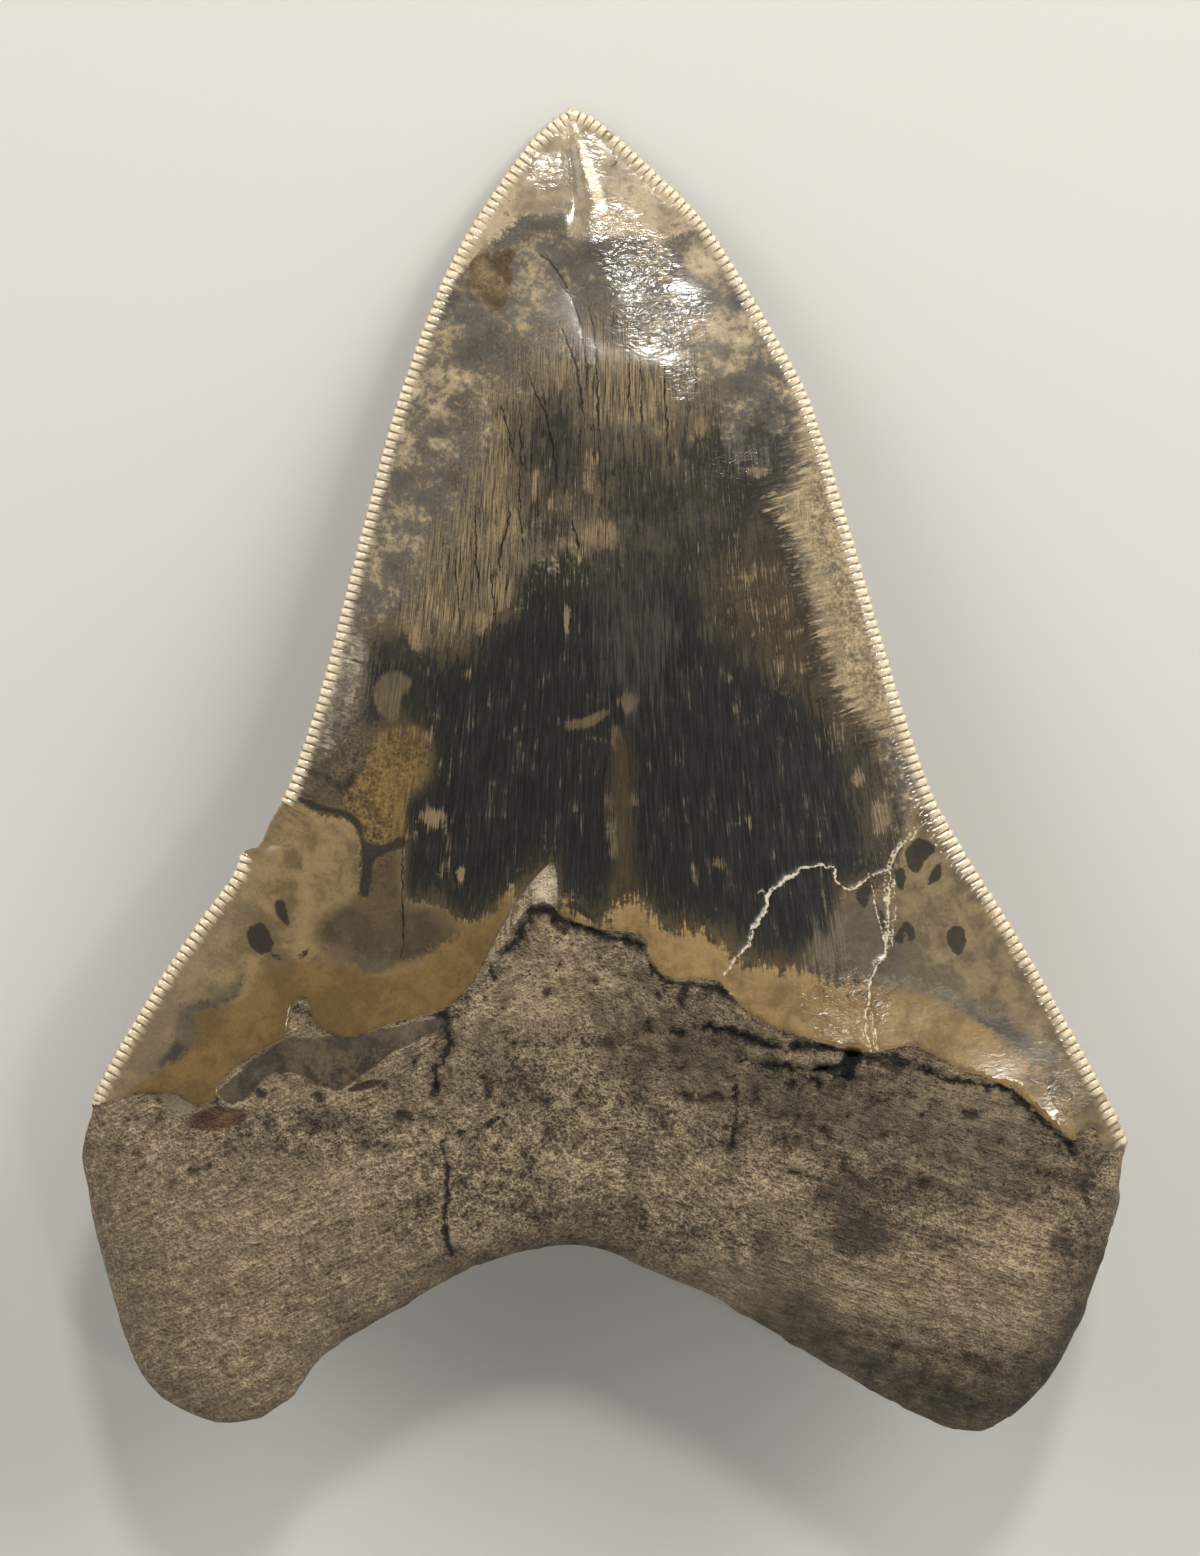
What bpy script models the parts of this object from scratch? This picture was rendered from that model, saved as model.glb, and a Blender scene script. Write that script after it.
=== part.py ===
# Fossil megalodon tooth, lying on its bulged back face with the flat front face up.
# The shape is worked out in millimetres in a face frame: x across, y towards the tip, w out of the front.

import math

import bmesh
import bpy
import numpy as np
from mathutils import Vector, noise

MM = 0.001

# Outline of the front face in millimetres, as control points of smooth curves.
TIP = (-3.1, 63.8)
LEFT_CORNER = (-48.8, -31.8)
RIGHT_CORNER = (50.2, -35.2)
LEFT_LOBE = (-37.7, -63.1)
RIGHT_LOBE = (35.9, -64.0)
LEFT_CROWN = [
    TIP, (-6.0, 61.6), (-9.2, 57.6), (-12.9, 51.9), (-15.8, 46.2), (-19.9, 34.8), (-23.5, 21.4),
    (-26.4, 10.0), (-28.5, 3.1), (-30.2, -1.5), (-31.8, -4.3), (-32.9, -6.6), (-34.4, -7.3),
    (-35.6, -10.0), (-39.9, -15.9), (-44.6, -23.3), (-48.3, -29.9), LEFT_CORNER,
]
LEFT_ROOT = [
    LEFT_CORNER, (-49.9, -34.6), (-49.8, -39.0), (-49.0, -45.2), (-46.1, -55.5),
    (-43.2, -60.3), LEFT_LOBE,
]
ARCH = [
    LEFT_LOBE, (-33.3, -62.5), (-29.6, -59.6), (-27.0, -56.0), (-20.9, -52.4), (-12.0, -47.5),
    (-2.3, -45.5), (6.3, -48.9), (11.0, -50.8), (19.6, -56.0), (29.6, -61.8), RIGHT_LOBE,
]
RIGHT_ROOT = [
    RIGHT_LOBE, (39.0, -62.8), (43.6, -58.1), (46.9, -51.1), (49.5, -42.5), (49.6, -37.0),
    RIGHT_CORNER,
]
RIGHT_CROWN = [
    RIGHT_CORNER, (48.1, -31.0), (40.1, -16.7), (33.0, -5.2), (30.3, 0.5), (26.7, 11.9),
    (23.4, 23.3), (19.9, 34.8), (17.1, 40.5), (10.2, 51.9), (4.9, 57.6), (-0.4, 62.4), TIP,
]
CURVE_STEPS = 16

# Enamel border on the front face, and how fast the back border falls away from the middle.
FRONT_BORDER = [
    (-49.0, -31.0), (-38.0, -30.5), (-29.0, -23.0), (-18.0, -23.0), (-10.0, -16.0), (-5.0, -10.0),
    (4.0, -14.0), (12.0, -20.0), (20.0, -25.5), (30.0, -26.5), (40.0, -30.5), (50.0, -35.5),
]
FRONT_BORDER_BLEND = 1.0
BACK_BORDER_TOP = 4.0
BACK_BORDER_FALL = 0.75
BACK_BLEND = (-4.0, 10.0)

# The sunken band between the enamel and the root on the back.
BAND_WIDTH = 9.0
BAND_TAPER = 0.16
BAND_SINK = 0.6
BAND_EDGE = 1.5

# Depth of the back face below the cutting edges along the middle of the crown, as (y, depth).
CROWN_DEPTH = [
    (-36.0, 20.0), (-12.0, 17.0), (-5.0, 15.5), (10.0, 12.0), (30.0, 8.0), (50.0, 4.0),
    (60.0, 1.6), (63.8, 0.0),
]
CROWN_FULLNESS = 2.3
CROWN_RISE = 0.07
CROWN_MOST_RISE = 2.0
CROWN_BEVEL = 1.5
BEND = 1.7
BEND_START = 5.0

# The crease that runs down the front from the tip.
CREASE_X = -2.3
CREASE_END = 48.0
CREASE_HALF_WIDTH = 2.6
CREASE_RISE = 0.45

# The root: its lobes, the bulge across its back, and its rounded margins.
ROOT_DEPTH = 15.0
BULGE_DEPTH = 9.5
BULGE_Y = -28.0
BULGE_HALF_WIDTH = 25.0
BULGE_HALF_HEIGHT = 12.5
ROOT_EDGE_DROP = 7.0
ROOT_EDGE_TOP = -26.0
ROOT_EDGE_BOTTOM = -50.0
ROOT_EDGE_BLEND = 12.0
ROOT_FRONT_LIFT = 1.0
ROOT_FRONT_FALL = 0.0035
FRONT_ROUND = 8.0
BACK_ROUND = 10.0
ENAMEL_STEP = 0.5
ROUGHNESS = 0.3
ROUGHNESS_SCALE = 0.22
ROUGHNESS_OCTAVES = 3
ROUGHNESS_CALM = 3.0

# Serrations along the cutting edges.
SERRATION_PITCH = 0.79
SERRATION_OUT = 0.20
SERRATION_IN = 0.16

# The grid that both faces are laid out on, and the spot the tooth rests on.
COLUMNS = 30
ROWS = 62
PATCH_TOP = 62.0
CLUSTER = 0.09
MERGE_DISTANCE = 1e-4
TIP_ZONE = 30.0
MOST_TILT = 30.0
TILT_STEPS = 40
FLAT_DEPTH = 0.8

COLOUR = (0.26, 0.22, 0.16)
SHINE_ROUGHNESS = 0.5
SHARP_ANGLE = 40.0


def clear_scene():
    for obj in list(bpy.data.objects):
        bpy.data.objects.remove(obj, do_unlink=True)


def smooth_line(points):
    """Catmull-Rom curve through the points."""
    points = np.array(points, float)
    before = np.vstack([2 * points[0] - points[1], points[:-1]])
    after = np.vstack([points[1:], 2 * points[-1] - points[-2]])
    line = [points[0]]
    for a, b, c, d in zip(before[:-1], points[:-1], points[1:], after[1:]):
        for step in range(1, CURVE_STEPS + 1):
            t = step / CURVE_STEPS
            line.append(0.5 * (2 * b + (c - a) * t + (2 * a - 5 * b + 4 * c - d) * t**2
                               + (3 * b - a - 3 * c + d) * t**3))
    return np.array(line)


def spaced(line, fractions):
    """Points on the line at these fractions of its length."""
    length = np.concatenate([[0], np.cumsum(np.hypot(*np.diff(line, axis=0).T))])
    wanted = np.asarray(fractions) * length[-1]
    return np.column_stack([np.interp(wanted, length, line[:, 0]), np.interp(wanted, length, line[:, 1])])


def smoothstep(low, high, value):
    t = np.clip((value - low) / (high - low), 0, 1)
    return t * t * (3 - 2 * t)


def rounded(distance, radius):
    """Quarter-round rise from 0 at the margin to 1 at the radius."""
    t = np.clip(distance / radius, 0, 1)
    return np.sqrt(1 - (1 - t) ** 2)


def split_line(line, height):
    """Cuts a crown edge, given from the root up, where it passes this height."""
    cut = int(np.argmax(line[:, 1] > height))
    return line[: cut + 1], line[cut:]


def margin_distance(points, line):
    """Shortest distance from each point to the closed outline."""
    start = line[:-1]
    run = line[1:] - start
    nearest = np.full(len(points), np.inf)
    for base, step in zip(start, run):
        square = max(float(step @ step), 1e-12)
        t = np.clip((points - base) @ step / square, 0, 1)
        nearest = np.minimum(nearest, np.hypot(*(points - base - t[:, None] * step).T))
    return nearest


class Outline:
    """The tooth's outline seen from the front, and the four sides of the patch that spans it."""

    def __init__(self):
        left_crown = smooth_line(LEFT_CROWN)[::-1]
        right_crown = smooth_line(RIGHT_CROWN)
        left_low, left_high = split_line(left_crown, PATCH_TOP)
        right_low, right_high = split_line(right_crown, PATCH_TOP)
        left_root = smooth_line(LEFT_ROOT)[::-1]
        right_root = smooth_line(RIGHT_ROOT)
        self.bottom = smooth_line(ARCH)
        self.left = np.vstack([left_root, left_low[1:]])
        self.right = np.vstack([right_root, right_low[1:]])
        self.top = np.vstack([left_high, right_high[::-1][1:]])
        self.loop = np.vstack([self.bottom, self.right[1:], self.top[::-1][1:], self.left[::-1][1:]])
        self.left_side = np.vstack([self.left, left_high[1:]])
        self.right_side = np.vstack([self.right, right_high[1:]])

    def half_width(self, y):
        """Middle and half width of the tooth at each height."""
        left = np.interp(y, np.maximum.accumulate(self.left_side[:, 1]), self.left_side[:, 0])
        right = np.interp(y, np.maximum.accumulate(self.right_side[:, 1]), self.right_side[:, 0])
        return (left + right) / 2, np.maximum((right - left) / 2, 0.05)


def patch(outline):
    """Coons patch between the four sides, as rows of points from the root's arch up to the tip."""
    u = np.linspace(0, 1, COLUMNS + 1)
    v = np.linspace(0, 1, ROWS + 1)
    side_u = u - CLUSTER * np.sin(2 * math.pi * u)
    side_v = v - CLUSTER * np.sin(math.pi * v)
    bottom = spaced(outline.bottom, side_u)[None, :, :]
    top = spaced(outline.top, u)[None, :, :]
    left = spaced(outline.left, side_v)[:, None, :]
    right = spaced(outline.right, side_v)[:, None, :]
    u = side_u[None, :, None]
    v = side_v[:, None, None]
    corners = ((1 - u) * (1 - v) * bottom[:, :1] + u * (1 - v) * bottom[:, -1:]
               + (1 - u) * v * top[:, :1] + u * v * top[:, -1:])
    return (1 - u) * left + u * right + (1 - v) * bottom + v * top - corners


def bend(y):
    """How far the crown curves back towards its tip."""
    return -BEND * (np.maximum(y - BEND_START, 0) / (TIP[1] - BEND_START)) ** 2


def edge_height(y):
    """Height of the margin: it follows the crown's bend, and drops back round the root."""
    return bend(y) - ROOT_EDGE_DROP * smoothstep(ROOT_EDGE_TOP, ROOT_EDGE_BOTTOM, y)


def crown_side(x, y, outline):
    """Place across the crown, 0 in the middle and 1 at the cutting edges, and the half width there."""
    middle, half = outline.half_width(y)
    return np.clip(np.abs(x - middle) / half, 0, 1), half


def lift(face, y, margin, root, radius):
    """Joins a face to the margin: a thin bevel along the crown, a round edge along the root."""
    rise = np.clip(margin / CROWN_BEVEL, 0, 1)
    rise = rise + (rounded(margin, radius) - rise) * root
    edge = edge_height(y)
    return edge + (face - edge) * rise


def front_height(x, y, margin, outline):
    side, half = crown_side(x, y, outline)
    border = np.interp(x, *np.array(FRONT_BORDER).T)
    root = smoothstep(border + FRONT_BORDER_BLEND, border - FRONT_BORDER_BLEND, y)
    crease = np.maximum(1 - np.abs(x - CREASE_X) / CREASE_HALF_WIDTH, 0)
    crown_face = np.minimum(CROWN_RISE * half, CROWN_MOST_RISE) * (1 - side**2) + bend(y)
    crown_face = crown_face + CREASE_RISE * crease * smoothstep(CREASE_END, TIP[1], y)
    root_face = ROOT_FRONT_LIFT - ENAMEL_STEP - ROOT_FRONT_FALL * np.minimum(y - BULGE_Y, 0) ** 2
    face = crown_face + (root_face - crown_face) * root
    round_edge = smoothstep(ROOT_EDGE_TOP, ROOT_EDGE_TOP - ROOT_EDGE_BLEND, y)
    return lift(face, y, margin, round_edge, FRONT_ROUND), root


def back_height(x, y, margin, outline):
    side, _ = crown_side(x, y, outline)
    below = BACK_BORDER_TOP - BACK_BORDER_FALL * np.abs(x) - y
    root = smoothstep(*BACK_BLEND, below)
    crown_face = bend(y) - np.interp(y, *np.array(CROWN_DEPTH).T) * (1 - side**CROWN_FULLNESS)
    bulge = np.exp(-(x / BULGE_HALF_WIDTH) ** 2 - ((y - BULGE_Y) / BULGE_HALF_HEIGHT) ** 2)
    root_face = -(ROOT_DEPTH + BULGE_DEPTH * bulge)
    face = crown_face + (root_face - crown_face) * root
    band = BAND_WIDTH - BAND_TAPER * np.abs(x)
    in_band = smoothstep(0, BAND_EDGE, below) * smoothstep(band, band - BAND_EDGE, below)
    return lift(face + BAND_SINK * in_band, y, margin, root, BACK_ROUND), root


def weathering(points, root, margin):
    """Gentle lumps of the worn root surface."""
    places = [Vector((*point, 0.0)) * ROUGHNESS_SCALE for point in points]
    lumps = np.array([noise.fractal(place, 1.0, 2.0, ROUGHNESS_OCTAVES) for place in places])
    return ROUGHNESS * lumps * root * np.clip(margin / ROUGHNESS_CALM, 0, 1)


def add_sheet(bm, side, points, height):
    """One face of the tooth: a grid whose vertices are moved onto the patch."""
    layer = bm.faces.layers.int["side"]
    grid = bmesh.ops.create_grid(bm, x_segments=COLUMNS, y_segments=ROWS, size=1.0)
    for vert in grid["verts"]:
        for face in vert.link_faces:
            face[layer] = side
        column = round((vert.co.x + 1) / 2 * COLUMNS)
        row = round((vert.co.y + 1) / 2 * ROWS)
        vert.co = (*points[row, column], height[row, column])


def cutting_edges(bm):
    """The edges where front and back meet, in order from the left corner over the tip, and their vertices."""
    layer = bm.faces.layers.int["side"]
    rim = {edge for edge in bm.edges if len({face[layer] for face in edge.link_faces}) == 2}
    verts = {vert for edge in rim for vert in edge.verts}
    here = min(verts, key=lambda vert: math.dist(vert.co.xy, LEFT_CORNER))
    last = min(verts, key=lambda vert: math.dist(vert.co.xy, RIGHT_CORNER))
    edges = []
    ordered = [here]
    while here != last:
        ahead = [edge for edge in here.link_edges if edge in rim and edge not in edges[-1:]]
        edge = max(ahead, key=lambda edge: edge.other_vert(here).co.y)
        edges.append(edge)
        here = edge.other_vert(here)
        ordered.append(here)
    return edges, ordered


def cut_serrations(bm):
    edges, _ = cutting_edges(bm)
    by_cuts = {}
    for edge in edges:
        cuts = max(1, round(2 * edge.calc_length() / SERRATION_PITCH)) - 1
        by_cuts.setdefault(cuts, []).append(edge)
    for cuts, group in by_cuts.items():
        if cuts:
            bmesh.ops.subdivide_edges(bm, edges=group, cuts=cuts)
    _, ordered = cutting_edges(bm)
    places = [vert.co.copy() for vert in ordered]
    for index in range(1, len(ordered) - 1):
        along = places[index + 1] - places[index - 1]
        outward = Vector((-along.y, along.x, 0)).normalized()
        ordered[index].co += outward * (SERRATION_OUT if index % 2 else -SERRATION_IN)
    cut_faces = [face for face in bm.faces if len(face.verts) > 4]
    bmesh.ops.poke(bm, faces=cut_faces, center_mode="BOUNDS")


def rest_tilt(bm):
    """Tilt at which the tip and the back of the root both reach the ground."""
    points = np.array([vert.co for vert in bm.verts])
    low = 0.0
    high = math.radians(MOST_TILT)
    for _ in range(TILT_STEPS):
        tilt = (low + high) / 2
        height = points[:, 2] * math.cos(tilt) - points[:, 1] * math.sin(tilt)
        tip = height[points[:, 1] > TIP_ZONE].min()
        if height[points[:, 1] < 0].min() + FLAT_DEPTH < tip:
            low = tilt
        else:
            high = tilt
    return tilt, tip


def lay_down(bm):
    """Turns the tooth into its resting place and cuts the small flat that it rests on."""
    tilt, tip = rest_tilt(bm)
    for vert in bm.verts:
        x, y, w = vert.co
        vert.co = (x, y * math.cos(tilt) + w * math.sin(tilt), w * math.cos(tilt) - y * math.sin(tilt) - tip)
    geometry = bm.verts[:] + bm.edges[:] + bm.faces[:]
    cut = bmesh.ops.bisect_plane(bm, geom=geometry, plane_co=(0, 0, 0), plane_no=(0, 0, 1), clear_inner=True)
    ring = [item for item in cut["geom_cut"] if isinstance(item, bmesh.types.BMEdge)]
    bmesh.ops.edgeloop_fill(bm, edges=[edge for edge in ring if edge.is_boundary])


def centre(bm):
    places = np.array([vert.co for vert in bm.verts])
    middle = (places.min(axis=0) + places.max(axis=0)) / 2
    bmesh.ops.translate(bm, verts=bm.verts, vec=(-middle[0], -middle[1], 0))
    bmesh.ops.scale(bm, verts=bm.verts, vec=(MM, MM, MM))


def surface_material(name, colour, roughness):
    material = bpy.data.materials.new(name)
    material.use_nodes = True
    shader = material.node_tree.nodes["Principled BSDF"]
    shader.inputs["Base Color"].default_value = (*colour, 1)
    shader.inputs["Roughness"].default_value = roughness
    return material


def build_tooth(collection):
    outline = Outline()
    points = patch(outline)
    flat = points.reshape(-1, 2)
    margin = margin_distance(flat, outline.loop).reshape(points.shape[:2])
    margin[[0, -1], :] = 0
    margin[:, [0, -1]] = 0
    margin = margin.reshape(-1)
    bm = bmesh.new()
    bm.faces.layers.int.new("side")
    for side, height_of in enumerate((front_height, back_height)):
        height, root = height_of(*flat.T, margin, outline)
        height = height + (1 - 2 * side) * weathering(flat, root, margin)
        add_sheet(bm, side, points, height.reshape(points.shape[:2]))
    bmesh.ops.remove_doubles(bm, verts=bm.verts, dist=MERGE_DISTANCE)
    cut_serrations(bm)
    bmesh.ops.triangulate(bm, faces=bm.faces)
    lay_down(bm)
    centre(bm)
    bmesh.ops.recalc_face_normals(bm, faces=bm.faces)
    mesh = bpy.data.meshes.new("tooth")
    bm.to_mesh(mesh)
    bm.free()
    tooth = bpy.data.objects.new("tooth", mesh)
    mesh.materials.append(surface_material("fossil_tooth", COLOUR, SHINE_ROUGHNESS))
    mesh.shade_smooth()
    mesh.set_sharp_from_angle(angle=math.radians(SHARP_ANGLE))
    collection.objects.link(tooth)
    return tooth


def main():
    clear_scene()
    collection = bpy.data.collections.new("megalodon_tooth")
    bpy.context.scene.collection.children.link(collection)
    build_tooth(collection)


main()
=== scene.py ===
import math

import bpy
import numpy as np
from mathutils import Matrix, Vector, geometry, kdtree, noise


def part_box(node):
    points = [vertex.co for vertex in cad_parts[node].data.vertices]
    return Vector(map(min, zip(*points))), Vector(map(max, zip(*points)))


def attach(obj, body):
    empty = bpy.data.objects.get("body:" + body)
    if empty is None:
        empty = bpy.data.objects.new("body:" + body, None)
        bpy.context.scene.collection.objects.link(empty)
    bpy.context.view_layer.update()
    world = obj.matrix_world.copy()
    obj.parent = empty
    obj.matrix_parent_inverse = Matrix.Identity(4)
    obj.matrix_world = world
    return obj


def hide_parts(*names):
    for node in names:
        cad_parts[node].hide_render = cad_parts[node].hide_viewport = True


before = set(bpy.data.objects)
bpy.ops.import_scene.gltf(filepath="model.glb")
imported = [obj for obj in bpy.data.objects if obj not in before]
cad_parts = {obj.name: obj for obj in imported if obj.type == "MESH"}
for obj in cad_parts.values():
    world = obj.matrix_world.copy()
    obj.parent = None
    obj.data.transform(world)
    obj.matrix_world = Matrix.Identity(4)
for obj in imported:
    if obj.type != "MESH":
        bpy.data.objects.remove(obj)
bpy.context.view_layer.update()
print("frame loaded:", sorted(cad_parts))

# The tooth is worked out in millimetres on its front face: x across, y towards the tip, w out of the front.
# Marks on it are placed by photo pixels, which onFace turns into those millimetres.
photo = dict(pixelsPerMm=10.5, middleX=604, middleY=775, width=1200, height=1556)
mm = 0.001


def onFace(pixels):
    pixels = np.array(pixels, float)
    across = (pixels[:, 0] - photo["middleX"]) / photo["pixelsPerMm"]
    up = (photo["middleY"] - pixels[:, 1]) / photo["pixelsPerMm"]
    return np.column_stack([across, up])


# lines, distances and soft steps

def smoothLine(points, steps=16):
    points = np.array(points, float)
    before = np.vstack([2 * points[0] - points[1], points[:-1]])
    after = np.vstack([points[1:], 2 * points[-1] - points[-2]])
    line = [points[0]]
    for a, b, c, d in zip(before[:-1], points[:-1], points[1:], after[1:]):
        for step in range(1, steps + 1):
            t = step / steps
            line.append(0.5 * (2 * b + (c - a) * t + (2 * a - 5 * b + 4 * c - d) * t**2
                               + (3 * b - a - 3 * c + d) * t**3))
    return np.array(line)


def lengthAlong(line):
    return np.concatenate([[0], np.cumsum(np.hypot(*np.diff(line, axis=0).T))])


def placesAlong(line, count):
    length = lengthAlong(line)
    wanted = np.linspace(0, length[-1], count)
    return np.column_stack([np.interp(wanted, length, line[:, axis]) for axis in (0, 1)])


def inwardOf(line):
    # the line runs with the tooth on its right
    run = np.gradient(line, axis=0)
    run /= np.hypot(*run.T)[:, None]
    return np.column_stack([run[:, 1], -run[:, 0]])


def smoothstep(low, high, value):
    t = np.clip((value - low) / (high - low), 0, 1)
    return t * t * (3 - 2 * t)


def quarterRound(distance, radius):
    t = np.clip(distance / radius, 0, 1)
    return np.sqrt(1 - (1 - t) ** 2)


def nearLine(points, line, reach):
    # distance to an open line up to reach, and how far along it the nearest place is, 0 to 1
    line = np.asarray(line, float)
    lengths = lengthAlong(line)
    gap = np.full(len(points), float(reach))
    along = np.zeros(len(points))
    close = ((points > line.min(axis=0) - reach) & (points < line.max(axis=0) + reach)).all(axis=1)
    near = np.flatnonzero(close)
    spots = points[near]
    for start, end, startLength, endLength in zip(line[:-1], line[1:], lengths[:-1], lengths[1:]):
        run = end - start
        t = np.clip((spots - start) @ run / max(run @ run, 1e-9), 0, 1)
        distance = np.hypot(*(spots - start - t[:, None] * run).T)
        closer = distance < gap[near]
        gap[near[closer]] = distance[closer]
        along[near[closer]] = (startLength + t[closer] * (endLength - startLength)) / lengths[-1]
    return gap, along


def insideRing(points, ring):
    x, y = points.T
    inside = np.zeros(len(points), bool)
    for (ax, ay), (bx, by) in zip(ring, np.roll(ring, -1, axis=0)):
        crosses = (ay > y) != (by > y)
        inside ^= crosses & (x < (bx - ax) * (y - ay) / (by - ay + 1e-12) + ax)
    return inside


def zoneDepth(points, ring, reach=8.0, stretch=1.0):
    # how deep inside a closed outline each point is; negative outside
    scale = np.array([1.0, stretch])
    ring = smoothLine(np.vstack([ring, ring[:1]]), 3) * scale
    places = points * scale
    gap, _ = nearLine(places, ring, reach)
    return np.where(insideRing(places, ring[:-1]), gap, -gap)


def lumps(points, scale, octaves=3, turn=0.0, stretch=1.0, seed=0.0):
    # fractal noise about 0, along a direction turned by so many degrees
    c, s = math.cos(math.radians(turn)), math.sin(math.radians(turn))
    along = (points[:, 0] * c + points[:, 1] * s) * scale / stretch
    across = (points[:, 1] * c - points[:, 0] * s) * scale
    return np.array([noise.fractal((a, b, seed), 1.0, 2.0, octaves) for a, b in zip(along, across)])


# outline and faces, as in the CAD part

outline = dict(
    leftCrown=[
        (-3.1, 63.8), (-6.0, 61.6), (-9.2, 57.6), (-12.9, 51.9), (-15.8, 46.2), (-19.9, 34.8),
        (-23.5, 21.4), (-26.4, 10.0), (-28.5, 3.1), (-30.2, -1.5), (-31.8, -4.3), (-32.9, -6.6),
        (-34.4, -7.3), (-35.6, -10.0), (-39.9, -15.9), (-44.6, -23.3), (-48.3, -29.9), (-48.8, -31.8),
    ],
    leftRoot=[
        (-48.8, -31.8), (-49.9, -34.6), (-49.8, -39.0), (-49.0, -45.2), (-46.1, -55.5), (-43.2, -60.3),
        (-37.7, -63.1),
    ],
    arch=[
        (-37.7, -63.1), (-33.3, -62.5), (-29.6, -59.6), (-27.0, -56.0), (-20.9, -52.4), (-12.0, -47.5),
        (-2.3, -45.5), (6.3, -48.9), (11.0, -50.8), (19.6, -56.0), (29.6, -61.8), (35.9, -64.0),
    ],
    rightRoot=[
        (35.9, -64.0), (39.0, -62.8), (43.6, -58.1), (46.9, -51.1), (49.5, -42.5), (49.6, -37.0),
        (50.2, -35.2),
    ],
    rightCrown=[
        (50.2, -35.2), (48.1, -31.0), (40.1, -16.7), (33.0, -5.2), (30.3, 0.5), (26.7, 11.9),
        (23.4, 23.3), (19.9, 34.8), (17.1, 40.5), (10.2, 51.9), (4.9, 57.6), (-0.4, 62.4), (-3.1, 63.8),
    ],
)
tipHeight = 63.8

toothForm = dict(
    bend=1.7, bendStart=5.0,                      # the crown curves back towards its tip
    crownRise=0.07, tipFlat=0.7, crownMostRise=2.0, crownBevel=1.5, crownFullness=2.3,
    crownDepth=[
        (-36, 20.0), (-12, 17.0), (-5, 15.5), (10, 12.0), (30, 8.0), (50, 4.0), (60, 1.6), (63.8, 0),
    ],
    rootDepth=15.0, bulgeDepth=9.5, bulgeY=-28.0, bulgeWide=25.0, bulgeHigh=12.5,
    edgeDrop=7.0, edgeTop=-26.0, edgeBottom=-50.0, edgeBlend=12.0,
    rootLift=1.0, rootFall=0.0035, frontRound=8.0, backRound=10.0, enamelStep=0.5,
    backBorderTop=4.0, backBorderFall=0.75, backBlend=(-4.0, 10.0),
    bandWidth=9.0, bandTaper=0.16, bandSink=0.6, bandEdge=1.5,
    restTilt=13.32, tipZone=30.0,                 # how it lies: on its back bulge and its tip
)


def bendAt(y):
    start = toothForm["bendStart"]
    return -toothForm["bend"] * (np.maximum(y - start, 0) / (tipHeight - start)) ** 2


def rimHeight(y):
    return bendAt(y) - toothForm["edgeDrop"] * smoothstep(toothForm["edgeTop"], toothForm["edgeBottom"], y)


# the cutting edges' beads

beads = dict(
    pitch=0.79, samples=6, out=0.20, sunk=0.16, rise=0.16, length=1.25, longLength=2.4,
    rows=(0.12, 0.3, 0.52, 0.8, 1.1, 1.45, 1.85), backRows=(0.15, 0.4, 0.8, 1.3), seed=7,
    strength=(0.78, 0.22), wornShare=0.03, wornStrength=0.45, chippedStrength=0.25,
    rootRowsTo=1.0, rootStep=0.5, rootSmoothings=14, rootWander=0.25,
    chippedPixels=[(262, 800), (243, 852)],       # stretch of the left edge that has lost its beads
)


def placeTree(places):
    tree = kdtree.KDTree(len(places))
    for number, place in enumerate(places):
        tree.insert((*place, 0), number)
    tree.balance()
    return tree


def nearest(tree, points):
    # number of the nearest place, and the distance to it
    found = [tree.find((*point, 0)) for point in points]
    return np.array([item[1] for item in found]), np.array([item[2] for item in found])


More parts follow.
